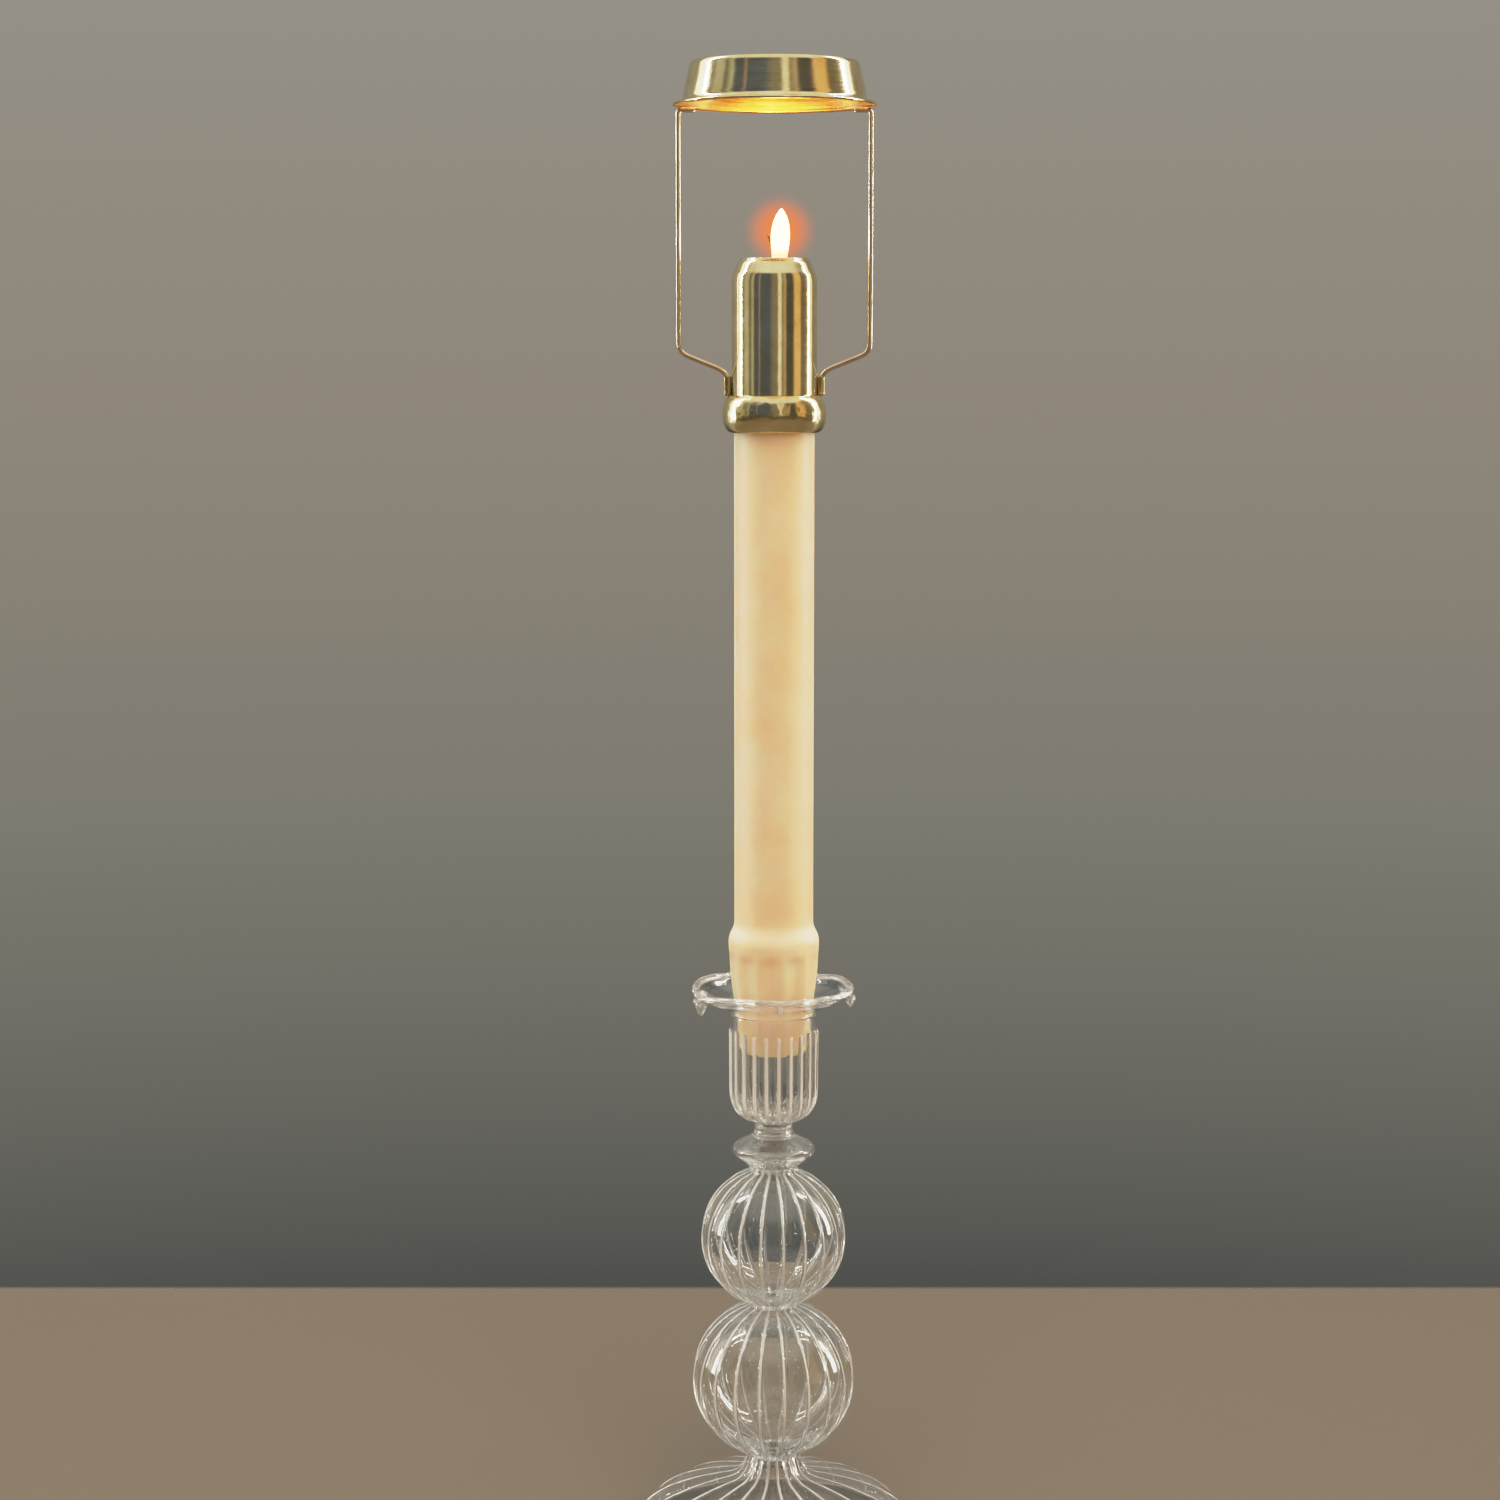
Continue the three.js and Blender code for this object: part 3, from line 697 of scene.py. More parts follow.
pan = turned("drip_pan", pan_section, pan_angles, pan_spread, pan_lift)
glass_piece(pan, soda_glass, "drip_pan")
on_rim = pan_section[:, 0] > rim_radius - rim_half - 0.3
second_material(pan, rim_glass, np.repeat(on_rim, len(pan_angles)))


# ---- Rim drops ----
# Five small drops pulled down from the rim with pincers while the glass was soft, no two alike. Each is
# round at its end, widens up to its root in the rim, and is a little flattened by the pincers.
DROP_SIZES = (0.55, 0.75, 0.9, 0.7, 1.15)
DROP_ROOT = 0.9
DROP_PINCH = 0.12

drop_angles = np.linspace(0, 2 * np.pi, 32, endpoint=False)
for number, size in enumerate(DROP_SIZES, start=1):
    name = f"rim_drop_{number}"
    low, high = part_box(name)
    centre = (low + high) / (2 * MM)
    rim_angle = FIRST_DROP + (number - 1) * 2 * np.pi / DROP_COUNT
    leave = high.z / MM + DROP_ROOT + rim_lift(rim_angle)
    bottom = leave - DROP_ROOT - size * (high.z - low.z) / MM
    drop_outline = np.array([
        (0, bottom), (0.5 * size, bottom + 0.1), (0.9 * size, bottom + 0.8 * size),
        (1.7 * size, leave - 1.5), (2.2 * size, leave - 0.6), (1.6 * size, leave), (0, leave),
    ])
    drop_section = eased(stepped(drop_outline, 0.15), 6, closed=False)
    radius = drop_section[:, :1] * (1 + DROP_PINCH * np.cos(2 * drop_angles + number))
    grid = np.stack([
        centre.x + radius * np.sin(drop_angles),
        centre.y - radius * np.cos(drop_angles),
        drop_section[:, 1:] + 0 * drop_angles,
    ], axis=-1)
    drop = skin(name, grid)
    glass_piece(drop, rim_glass, name)


# ---- Candle ----
# A plain cast candle of ivory paraffin and stearin, seven eighths of an inch across, whose fluted and
# tapered butt wedges itself in the cup's mouth. The top has melted into a shallow pool. Inside the cup
# the butt has a faint glow of its own, for the light that the renderer loses on the way in.
CANDLE_RADIUS = 11.1
BUTT_END_RADIUS = 9.9
BUTT_LENGTH = 36.8
BUTT_SHOULDER_RADIUS = 12.8
FLUTES = 10
FLUTE_DEPTH = 0.8
RIDGE_ROUND = 0.16
FIRST_FLUTE = np.radians(14)
SLEEVE_HOLE_RADIUS = 8.6
POOL_DEPTH = 1.6
WICK_HOLE = 1.0
WICK_HOLE_DEPTH = 12
WAX_CLOUDS = 14
WAX_GRAIN = 1.2
WAX_GRAIN_DEPTH = 0.05
WAX_IOR = 1.44
LIGHT_REACH = 8
BUTT_GLOW = 0.3
BUTT_GLOW_COLOUR = "ffd3a0"

wax_low, wax_high = levels("candle_wax")
shoulder = wax_low + BUTT_LENGTH - 4.4
wax_outline = np.array([
    (0, wax_low), (BUTT_END_RADIUS - 0.5, wax_low), (BUTT_END_RADIUS, wax_low + 0.8),
    (MOUTH_RADIUS - 0.3, pan_low), (BUTT_SHOULDER_RADIUS - 1.0, pan_low + 7.4),
    (BUTT_SHOULDER_RADIUS - 0.4, pan_low + 13), (BUTT_SHOULDER_RADIUS, shoulder),
    (BUTT_SHOULDER_RADIUS - 0.3, shoulder + 1.2), (CANDLE_RADIUS + 0.3, shoulder + 3.4),
    (CANDLE_RADIUS, wax_low + BUTT_LENGTH), (CANDLE_RADIUS, wax_high - 5.6),
    (CANDLE_RADIUS - 0.7, wax_high - 2.5), (9.0, wax_high), (SLEEVE_HOLE_RADIUS - 0.4, wax_high),
    (SLEEVE_HOLE_RADIUS - 1.6, wax_high - POOL_DEPTH + 0.3), (WICK_HOLE + 0.4, wax_high - POOL_DEPTH),
    (WICK_HOLE, wax_high - POOL_DEPTH - 0.3), (WICK_HOLE, wax_high - WICK_HOLE_DEPTH),
    (0, wax_high - WICK_HOLE_DEPTH),
])
wax_section = eased(stepped(wax_outline, 0.9), 1, closed=False)
wax_angles = np.linspace(0, 2 * np.pi, 180, endpoint=False)
fluted = np.clip((shoulder - 3.5 - wax_section[:, 1:]) / 3, 0, 1) * (wax_section[:, :1] > 1)
fluted = np.sqrt(fluted)
turns = (wax_angles - FIRST_FLUTE) * FLUTES / (2 * np.pi)
off_ridge = np.hypot(2 * np.abs(turns - np.round(turns)), RIDGE_ROUND) - RIDGE_ROUND
dip = 1 - (1 - off_ridge) ** 2
candle = turned("candle_wax", wax_section, wax_angles, -FLUTE_DEPTH * fluted * dip, closed=False)

# Paraffin with stearin, cast in a polished mould: light goes in and comes out again all round, so it
# glows warm and has no hard shadows, under a soft and slightly cloudy sheen.
candle_paint, out = empty_material("ivory_candle_wax")
tree = candle_paint.node_tree
where = add_node(tree, "ShaderNodeTexCoord").outputs["Object"]
clouds = add_node(
    tree, "ShaderNodeTexNoise", {"Scale": 1 / (WAX_CLOUDS * MM), "Detail": 3.0}, {"Vector": where}
)
grain = add_node(
    tree, "ShaderNodeTexNoise", {"Scale": 1 / (WAX_GRAIN * MM), "Detail": 2.0}, {"Vector": where}
)
tone = add_node(
    tree,
    "ShaderNodeValToRGB",
    links={"Fac": clouds.outputs["Fac"]},
    stops=[(0.35, "f4d8b2"), (0.65, "f9e3c5")],
)
gloss = add_node(
    tree,
    "ShaderNodeMapRange",
    {"From Min": 0.3, "From Max": 0.7, "To Min": 0.38, "To Max": 0.55},
    {"Value": clouds.outputs["Fac"]},
)
bump = add_node(
    tree,
    "ShaderNodeBump",
    {"Strength": 0.35, "Distance": WAX_GRAIN_DEPTH * MM},
    {"Height": grain.outputs["Fac"]},
)
split = add_node(tree, "ShaderNodeSeparateXYZ", links={0: where})
butt_glow = add_node(
    tree,
    "ShaderNodeMapRange",
    {"From Min": pan_low * MM, "From Max": (pan_low + 3) * MM, "To Min": BUTT_GLOW, "To Max": 0.0},
    {"Value": split.outputs["Z"]},
)
wax_shader = add_node(
    tree,
    "ShaderNodeBsdfPrincipled",
    {
        "IOR": WAX_IOR,
        "Emission Color": srgb(BUTT_GLOW_COLOUR),
        "Subsurface Weight": 1.0,
        "Subsurface Radius": (1.0, 0.5, 0.22),
        "Subsurface Scale": LIGHT_REACH * MM,
    },
    {
        "Base Color": tone.outputs[0],
        "Roughness": gloss.outputs[0],
        "Emission Strength": butt_glow.outputs[0],
        "Normal": bump.outputs["Normal"],
    },
)
tree.links.new(wax_shader.outputs[0], out.inputs["Surface"])
candle.data.materials.append(candle_paint)
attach(candle, "candle")
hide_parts("candle_wax")


# ---- Wick ----
# Braided cotton, charred where it stands out of the pool, and bent over by the flame at its tip.
WICK_RADIUS = 0.75
WICK_PLAITS = 3
PLAIT_PITCH = 3.0
PLAIT_RELIEF = 0.16
PLAIT_HOLLOW = 0.86
WICK_BEND_FROM = 0.62
WICK_BEND = 1.6
COTTON_FIBRE = 0.3

wick_low, wick_high = levels("wick")
rise = np.linspace(0, 1, 90)[:, None]
wick_angles = np.linspace(0, 2 * np.pi, 30, endpoint=False)
wick_level = wick_low + (wick_high - wick_low) * rise
plait_turn = 2 * np.pi * wick_level / (WICK_PLAITS * PLAIT_PITCH)
plait = 1 + PLAIT_RELIEF * np.cos(WICK_PLAITS * (wick_angles - plait_turn))
round_end = np.sqrt(np.clip(1 - ((rise - 0.5) * 2) ** 24, 0, 1))
wick_radius = WICK_RADIUS * PLAIT_HOLLOW * plait * round_end
lean = -WICK_BEND * np.clip((rise - WICK_BEND_FROM) / (1 - WICK_BEND_FROM), 0, 1) ** 2
wick_grid = np.stack([
    lean + wick_radius * np.sin(wick_angles),
    -wick_radius * np.cos(wick_angles) - 0.2 * lean,
    wick_level + 0 * wick_angles,
], axis=-1)
wick = skin("wick", wick_grid)

# Braided cotton, burnt: matt and almost black, with fibres that read as a fine brown fleck.
wick_paint, out = empty_material("charred_cotton_braid")
tree = wick_paint.node_tree
where = add_node(tree, "ShaderNodeTexCoord").outputs["Object"]
fibre = add_node(
    tree, "ShaderNodeTexNoise", {"Scale": 1 / (COTTON_FIBRE * MM), "Detail": 3.0}, {"Vector": where}
)
char = add_node(
    tree,
    "ShaderNodeValToRGB",
    links={"Fac": fibre.outputs["Fac"]},
    stops=[(0.3, "120d0a"), (0.7, "3a2c22")],
)
bump = add_node(
    tree, "ShaderNodeBump", {"Strength": 0.8, "Distance": 0.1 * MM}, {"Height": fibre.outputs["Fac"]}
)
cotton = add_node(
    tree,
    "ShaderNodeBsdfPrincipled",
    {"Roughness": 0.95},
    {"Base Color": char.outputs[0], "Normal": bump.outputs["Normal"]},
)
tree.links.new(cotton.outputs[0], out.inputs["Surface"])
wick.data.materials.append(wick_paint)
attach(wick, "candle")
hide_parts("wick")


# ---- Sleeve ----
# Thin brass sheet spun into a tube with a round shoulder and a turned-in lip, then polished. The lip
# rests on the wax, so the sleeve sinks with the candle.
SHEET = 0.4
SLEEVE_SHOULDER = 5.2
LIP_RADIUS = 9.5
LIP_ROLL = 0.35
BRASS_PATCHES = 6
BRASS_DENTS = 3
# Buffing scratches to the millimetre up a piece, and along their length. Real ones are far finer, and
# are drawn this coarse so that they show.
SCRATCHES_UP = 2.4
SCRATCHES_ALONG = 0.06


def polished_brass(name, colours, roughness, dent, scratch=0.01):
    """Yellow brass: a warm mirror in patches of the three colours, from deep to pale, with rings of fine
    scratches round the axis that streak its gloss. dent and scratch are depths in millimetres."""
    material, out = empty_material(name)
    tree = material.node_tree
    where = add_node(tree, "ShaderNodeTexCoord").outputs["Object"]
    stretch = add_node(
        tree,
        "ShaderNodeMapping",
        {"Scale": (SCRATCHES_ALONG / MM, SCRATCHES_ALONG / MM, SCRATCHES_UP / MM)},
        {"Vector": where},
    )
    scratches = add_node(
        tree, "ShaderNodeTexNoise", {"Scale": 1.0, "Detail": 2.0}, {"Vector": stretch.outputs[0]}
    )
    patches = add_node(
        tree, "ShaderNodeTexNoise", {"Scale": 1 / (BRASS_PATCHES * MM), "Detail": 4.0}, {"Vector": where}
    )
    dents = add_node(
        tree, "ShaderNodeTexNoise", {"Scale": 1 / (BRASS_DENTS * MM), "Detail": 1.0}, {"Vector": where}
    )
    tone = add_node(
        tree,
        "ShaderNodeValToRGB",
        links={"Fac": patches.outputs["Fac"]},
        stops=list(zip((0.3, 0.55, 0.75), colours)),
    )
    gloss = add_node(
        tree,
        "ShaderNodeMapRange",
        {"From Min": 0.3, "From Max": 0.7, "To Min": roughness * 0.7, "To Max": roughness * 1.4},
        {"Value": scratches.outputs["Fac"]},
    )
    fine = add_node(
        tree,
        "ShaderNodeBump",
        {"Strength": 0.25, "Distance": scratch * MM},
        {"Height": scratches.outputs["Fac"]},
    )
    broad = add_node(
        tree,
        "ShaderNodeBump",
        {"Strength": 1.0, "Distance": dent * MM},
        {"Height": dents.outputs["Fac"], "Normal": fine.outputs["Normal"]},
    )
    metal = add_node(
        tree,
        "ShaderNodeBsdfPrincipled",
        {"Metallic": 1.0},
        {"Base Color": tone.outputs[0], "Roughness": gloss.outputs[0], "Normal": broad.outputs["Normal"]},
    )
    tree.links.new(metal.outputs[0], out.inputs["Surface"])
    return material


def brass_piece(piece, material, *nodes):
    """Gives a brass piece its material, and says which CAD nodes it stands for."""
    piece.data.materials.append(material)
    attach(piece, "shade_carrier")
    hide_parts(*nodes)


# Brass sheet, spun and buffed: nearly a mirror, so it shows the room as upright stripes.
spun_brass = polished_brass("spun_polished_brass", ("ddcb98", "e9dcb0", "efe5c2"), 0.10, 0.02)

sleeve_low, sleeve_high = levels("sleeve")
sleeve_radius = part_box("sleeve")[1].x / MM
shoulder_lines = ((0.0, SLEEVE_SHOULDER + 0.9), (0.25, SLEEVE_SHOULDER - 0.7), (1.7, 1.1), (2.1, 0.75))
sleeve_outline = np.array(
    [(sleeve_radius, sleeve_low)]
    + [(sleeve_radius - inward, sleeve_high - down) for inward, down in shoulder_lines]
    + [(LIP_RADIUS - 0.1, sleeve_high), (SLEEVE_HOLE_RADIUS, sleeve_high)]
)
sleeve_inside = np.array(
    [(SLEEVE_HOLE_RADIUS, sleeve_high - SHEET), (LIP_RADIUS - LIP_ROLL, sleeve_high - SHEET)]
    + [(sleeve_radius - SHEET - inward, sleeve_high - down - 0.2) for inward, down in shoulder_lines[::-1]]
    + [(sleeve_radius - SHEET, sleeve_low)]
)
sleeve_section = np.concatenate([stepped(sleeve_outline, 0.25), stepped(sleeve_inside, 0.25)])
sleeve = turned("sleeve", eased(sleeve_section, 3), plain_angles)
brass_piece(sleeve, spun_brass, "sleeve")


# ---- Bead ring ----
# A heavier ring of half-round section soldered round the sleeve's foot, with an inner lip that the
# sleeve stands on. Years of handling have left it slightly dented.
BEAD_LIP = 1.0

# Cast brass, turned and polished: softer in its gloss and dented, which breaks up what it mirrors.
cast_brass = polished_brass("cast_polished_brass", ("d2c088", "e2d3a2", "ece0b8"), 0.14, 0.22)

bead_low, bead_high = levels("bead_ring")
bead_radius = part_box("bead_ring")[1].x / MM
bead_inner = sleeve_radius + 0.05
bead_middle = (bead_low + bead_high) / 2
bead_half = (bead_high - bead_low) / 2
swell = np.linspace(-np.pi / 2, np.pi / 2, 40)
bulge = np.column_stack([
    bead_inner + (bead_radius - bead_inner) * np.cos(swell) ** 0.9,
    bead_middle + bead_half * np.sin(swell),
])
bead_outline = np.concatenate([
    [(sleeve_radius - SHEET, bead_low)],
    bulge,
    [(bead_inner, bead_high), (bead_inner, bead_low + BEAD_LIP)],
    [(sleeve_radius - SHEET, bead_low + BEAD_LIP), (sleeve_radius - SHEET, bead_low)],
])
bead_section = eased(stepped(bead_outline, 0.2)[:-1], 2)
bead = turned("bead_ring", bead_section, plain_angles)
brass_piece(bead, cast_brass, "bead_ring")


# ---- Arms and solder lugs ----
# Two round brass wires, bent cold: out from the bead, straight up, and in under the ring. Each is
# soldered to the ring above, and below it stands in a lug of solder on the bead and the sleeve.
WIRE_RADIUS = 0.7
ARM_FOOT_BEND = 0.9
ARM_SLOPE_RISE = 5.3
ARM_REACH_IN = 4.9
TOP_BEND_ROOM = 12
FOOT_BEND_PASSES = 50
TOP_BEND_PASSES = 10
LUG_TOP_HALF_WIDTH = 0.8
LUG_FOOT_SPREAD = 0.9
LUG_SINK = 0.3
LUG_BITE = 0.35

# Brass wire, drawn through a die: quite smooth, with one bright line down its length.
wire_brass = polished_brass("drawn_brass_wire", ("d8c0a0", "e2cdb0", "ecdcc4"), 0.12, 0.0, scratch=0.0)
# Brass solder, left as it ran: duller and browner than the pieces that it joins, and lumpy.
solder = polished_brass("brass_solder", ("a8905c", "c2aa78", "d6c294"), 0.22, 0.15)


def tube(name, path, radius):
    """A round wire along a path in the XZ plane: path + radius (cos a n + sin a y), where n is the
    path's normal. Within a radius of each end the wire closes as radius sqrt(1 - (1 - s / radius)^2)."""
    along = np.concatenate([[0], np.cumsum(np.linalg.norm(np.diff(path, axis=0), axis=1))])
    step = np.gradient(path, axis=0)
    step /= np.linalg.norm(step, axis=1)[:, None]
    from_end = np.minimum(along, along[-1] - along)
    closing = np.sqrt(np.clip(1 - (1 - np.minimum(from_end / radius, 1)) ** 2, 0, 1)) * radius
    a = np.linspace(0, 2 * np.pi, 24, endpoint=False)
    across = closing[:, None] * np.cos(a)
    grid = np.stack([
        path[:, :1] + step[:, 1:] * across,
        closing[:, None] * np.sin(a),
        path[:, 1:] - step[:, :1] * across,
    ], axis=-1)
    return skin(name, grid)


def lug(name, side, low, high, inner, outer):
    """A solder lug: a rounded block whose section is |x|^3 + |y|^3 = 1. With t from 0 at the bead to 1
    at the wire, its half width is LUG_TOP_HALF_WIDTH + LUG_FOOT_SPREAD (1 - t)^3, and both ends close
    as sqrt(1 - (2 t - 1)^16)."""
    rise = np.linspace(0, 1, 40)[:, None]
    a = np.linspace(0, 2 * np.pi, 40, endpoint=False)
    square = (np.abs(np.cos(a)) ** 3 + np.abs(np.sin(a)) ** 3) ** (-1 / 3)
    closing = np.clip(1 - (2 * rise - 1) ** 16, 0, 1) ** 0.5
    half_width = closing * (LUG_TOP_HALF_WIDTH + LUG_FOOT_SPREAD * (1 - rise) ** 3)
    depth = closing * ((outer - inner) / 2 * (1 - 0.12 * rise))
    grid = np.stack([
        side * ((inner + outer) / 2 + depth * square * np.cos(a)),
        side * half_width * square * np.sin(a),
        low + (high - low) * rise + 0 * a,
    ], axis=-1)
    return skin(name, grid)


for side_name, side in (("right", 1), ("left", -1)):
    lug_node = f"foot_lug_{side_name}"
    arm_node = f"arm_{side_name}"
    lug_low, lug_high = levels(lug_node)
    lug_box = [corner.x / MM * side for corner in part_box(lug_node)]
    lug_inner, lug_outer = min(lug_box), max(lug_box)
    lug_middle = (lug_inner + lug_outer) / 2
    arm_box = [corner.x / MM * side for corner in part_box(arm_node)]
    arm_radius = max(arm_box) - WIRE_RADIUS
    arm_top = levels(arm_node)[1] - WIRE_RADIUS
    arm_corners = [
        (lug_middle, lug_low + 0.4),
        (lug_middle, lug_high + ARM_FOOT_BEND),
        (arm_radius, lug_high + ARM_FOOT_BEND + ARM_SLOPE_RISE),
        (arm_radius, arm_top),
        (arm_radius - ARM_REACH_IN, arm_top),
    ]
    line = stepped(arm_corners, 0.35)
    soft_bends = eased(line, FOOT_BEND_PASSES, closed=False)
    tight_bends = eased(line, TOP_BEND_PASSES, closed=False)
    line = np.where(line[:, 1:] < arm_top - TOP_BEND_ROOM, soft_bends, tight_bends)
    line[:, 0] *= side
    arm = tube(arm_node, line, WIRE_RADIUS)
    brass_piece(arm, wire_brass, arm_node)
    block = lug(lug_node, side, lug_low - LUG_SINK, lug_high, lug_inner - LUG_BITE, lug_outer)
    brass_piece(block, solder, lug_node)


# ---- Shade ring ----
# A short cone of spun brass that a clip-on shade sits on: a flared flange with a rolled edge below, a
# plain wall, and an edge turned inwards above.
RING_SHEET = 0.5
RING_TOP_RADIUS = 23.3
RING_BOTTOM_RADIUS = 25.1
RING_OPENING_RADIUS = 21.9

# The same sheet inside the ring, never buffed, so it blurs what it mirrors. Its deeper yellow is a painted
# warm glow of the flame below it.
rough_flame_glow_brass = polished_brass("unpolished_flame_glow_brass", ("c79a50", "dcb468", "e6c483"), 0.38, 0.08)

ring_low, ring_high = levels("gallery_ring")
flange_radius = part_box("gallery_ring")[1].x / MM
wall_top = (RING_TOP_RADIUS + 0.2, ring_high - 1.7)
wall_bottom = (RING_BOTTOM_RADIUS + 0.1, ring_low + 2.8)
ring_outline = np.concatenate([
    [(RING_BOTTOM_RADIUS + 0.5, ring_low + 0.15)],
    arc((flange_radius - 0.5, ring_low + 0.5), 0.5, -np.pi / 2, np.pi / 2, 12),
    bezier(
        (RING_BOTTOM_RADIUS + 1.4, ring_low + 0.95),
        (RING_BOTTOM_RADIUS + 0.2, ring_low + 1.0),
        wall_bottom,
        10,
    ),
    bezier(wall_top, (RING_TOP_RADIUS, ring_high), (RING_TOP_RADIUS - 0.9, ring_high), 8),
    [(RING_OPENING_RADIUS, ring_high), (RING_OPENING_RADIUS, ring_high - RING_SHEET)],
    bezier(
        (RING_TOP_RADIUS - 1.0, ring_high - RING_SHEET),
        (RING_TOP_RADIUS - RING_SHEET, ring_high - RING_SHEET),
        (wall_top[0] - RING_SHEET, wall_top[1]),
        8,
    ),
    [(wall_bottom[0] - RING_SHEET, wall_bottom[1])],
    [(RING_BOTTOM_RADIUS + 0.5, ring_low + 0.15)],
])
ring_section = eased(stepped(ring_outline, 0.18)[:-1], 2)
ring_angles = np.linspace(0, 2 * np.pi, 224, endpoint=False)
ring = turned("gallery_ring", ring_section, ring_angles)
brass_piece(ring, spun_brass, "gallery_ring")
wall_middle = np.interp(
    ring_section[:, 1],
    (ring_low, wall_bottom[1], wall_top[1], ring_high),
    (RING_BOTTOM_RADIUS + 0.5, wall_bottom[0] - 0.25, wall_top[0] - 0.25, RING_TOP_RADIUS - 1.2),
)
inside = (ring_section[:, 0] < wall_middle) & (ring_section[:, 1] < ring_high - RING_SHEET / 2)
inside |= ring_section[:, 1] < ring_low + 0.2
# The inside faces take the deeper yellow: a painted warm glow of the flame.
second_material(ring, rough_flame_glow_brass, np.repeat(inside, len(ring_angles)))


# ---- Flame ----
# The lit flame isn't a part of the object: it only lights the scene. A leaning drop of light stands
# round the wick, pale yellow above its orange foot, with a soft orange glow about it.
FLAME_SIDE = 1.3
FLAME_LEAN = 0.6
FLAME_LINE = (
    (0, 0), (1.65, 0.4), (2.05, 1.6), (2.4, 4.2), (2.65, 7.2), (2.55, 9.4), (2.05, 11.8), (1.2, 13.7),
    (0.5, 14.7), (0, 15.2),
)
FLAME_SINK = 1.8
FLAME_STRENGTH = 20.0
GLOW_RADIUS = 12
GLOW_FALL = 7.0
GLOW_STRENGTH = 0.6
GLOW_COLOUR = "ff7426"
GLOW_TINT = "ffcbad"
FLAME_WATTS = 0.4
FLAME_LIGHT_RADIUS = 2.5
FLAME_LIGHT_HEIGHT = 8

flame_low = sleeve_high - FLAME_SINK
flame_angles = np.linspace(0, 2 * np.pi, 48, endpoint=False)
flame_section = eased(stepped(FLAME_LINE, 0.3), 6, closed=False)
flame_side = FLAME_SIDE + FLAME_LEAN * flame_section[:, 1:] / FLAME_LINE[-1][1]
flame_grid = np.stack([
    flame_side + flame_section[:, :1] * np.sin(flame_angles),
    -flame_section[:, :1] * np.cos(flame_angles),
    flame_low + flame_section[:, 1:] + 0 * flame_angles,
], axis=-1)
flame = skin("flame", flame_grid)

# Glowing soot: far brighter than anything about it, orange at the foot, and clear towards its edge.
flame_paint, out = empty_material("candle_flame")
tree = flame_paint.node_tree
where = add_node(tree, "ShaderNodeTexCoord").outputs["Object"]
split = add_node(tree, "ShaderNodeSeparateXYZ", links={0: where})
up = add_node(
    tree,
    "ShaderNodeMapRange",
    {"From Min": flame_low * MM, "From Max": (flame_low + FLAME_LINE[-1][1]) * MM},
    {"Value": split.outputs["Z"]},
)
flame_tone = add_node(
    tree,
    "ShaderNodeValToRGB",
    links={"Fac": up.outputs[0]},
    stops=[(0.1, "b4500f"), (0.22, "f6a445"), (0.36, "ffe9b4"), (0.95, "ffe4a8")],
)
facing = add_node(tree, "ShaderNodeLayerWeight", {"Blend": 0.5})
solid = add_node(
    tree,
    "ShaderNodeMapRange",
    {"From Min": 0.35, "From Max": 0.9, "To Min": 1.0, "To Max": 0.0},
    {"Value": facing.outputs["Facing"]},
)
clear = add_node(tree, "ShaderNodeBsdfTransparent")
burning = add_node(
    tree, "ShaderNodeEmission", {"Strength": FLAME_STRENGTH}, {"Color": flame_tone.outputs[0]}
)
mixed = add_node(
    tree, "ShaderNodeMixShader", links={0: solid.outputs[0], 1: clear.outputs[0], 2: burning.outputs[0]}
)
tree.links.new(mixed.outputs[0], out.inputs["Surface"])
flame.data.materials.append(flame_paint)
flame.visible_shadow = False
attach(flame, "candle")

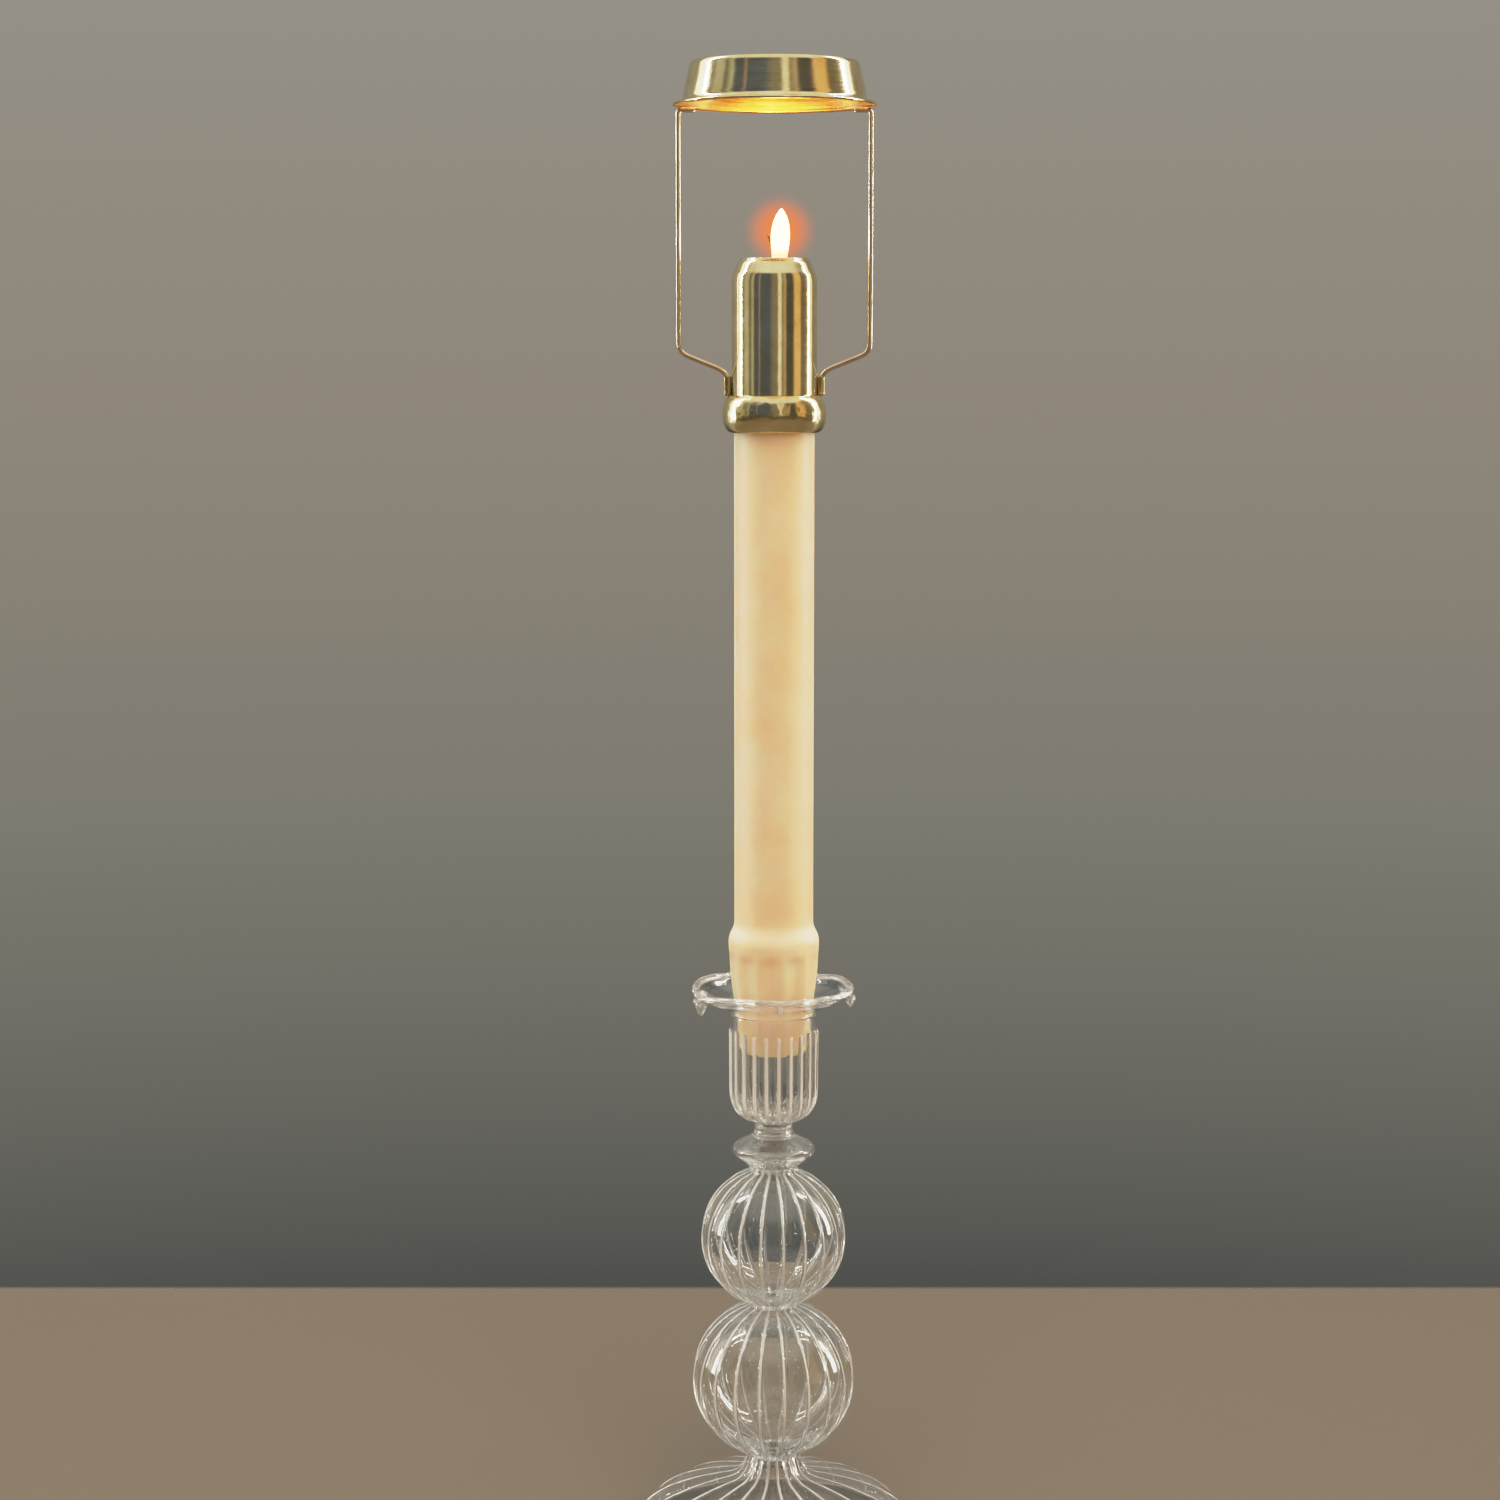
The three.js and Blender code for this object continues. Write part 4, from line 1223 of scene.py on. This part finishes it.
polar = np.linspace(0, np.pi, 40)[:, None]
halo_centre = flame_low + FLAME_LINE[-1][1] * 0.6
halo_grid = np.stack([
    FLAME_SIDE + 0.3 + GLOW_RADIUS * np.sin(polar) * np.sin(flame_angles),
    -GLOW_RADIUS * np.sin(polar) * np.cos(flame_angles),
    halo_centre - GLOW_RADIUS * np.cos(polar) + 0 * flame_angles,
], axis=-1)
halo = skin("flame_glow", halo_grid)

# The glow in the air: orange and strongest towards the flame, and nothing at its edge, where the ball
# that carries it is seen along its side.
halo_paint, out = empty_material("glow_round_flame")
tree = halo_paint.node_tree
facing = add_node(tree, "ShaderNodeLayerWeight", {"Blend": 0.5})
inward = add_node(tree, "ShaderNodeMath", {"operation": "SUBTRACT", 0: 1.0}, {1: facing.outputs["Facing"]})
fading = add_node(tree, "ShaderNodeMath", {"operation": "POWER", 1: GLOW_FALL}, {0: inward.outputs[0]})
reddened = add_node(
    tree,
    "ShaderNodeMix",
    {"data_type": "RGBA", 6: srgb("ffffff"), 7: srgb(GLOW_TINT)},
    {"Factor": fading.outputs[0]},
)
clear = add_node(tree, "ShaderNodeBsdfTransparent", links={"Color": reddened.outputs[2]})
strength = add_node(
    tree, "ShaderNodeMath", {"operation": "MULTIPLY", 1: GLOW_STRENGTH}, {0: fading.outputs[0]}
)
warm = add_node(
    tree, "ShaderNodeEmission", {"Color": srgb(GLOW_COLOUR)}, {"Strength": strength.outputs[0]}
)
summed = add_node(tree, "ShaderNodeAddShader", links={0: clear.outputs[0], 1: warm.outputs[0]})
tree.links.new(summed.outputs[0], out.inputs["Surface"])
halo.data.materials.append(halo_paint)
halo.visible_shadow = False
halo.visible_glossy = False
halo.visible_transmission = False
halo.visible_diffuse = False
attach(halo, "candle")

flame_data = bpy.data.lights.new("flame_light", "POINT")
flame_data.energy = FLAME_WATTS
flame_data.color = srgb("ffb060")[:3]
flame_data.shadow_soft_size = FLAME_LIGHT_RADIUS * MM
flame_light = bpy.data.objects.new("flame_light", flame_data)
flame_light.location = (FLAME_SIDE * MM, 0, (flame_low + FLAME_LIGHT_HEIGHT) * MM)
bpy.context.scene.collection.objects.link(flame_light)
flame_light.parent = frame["bodies"]["candle"]
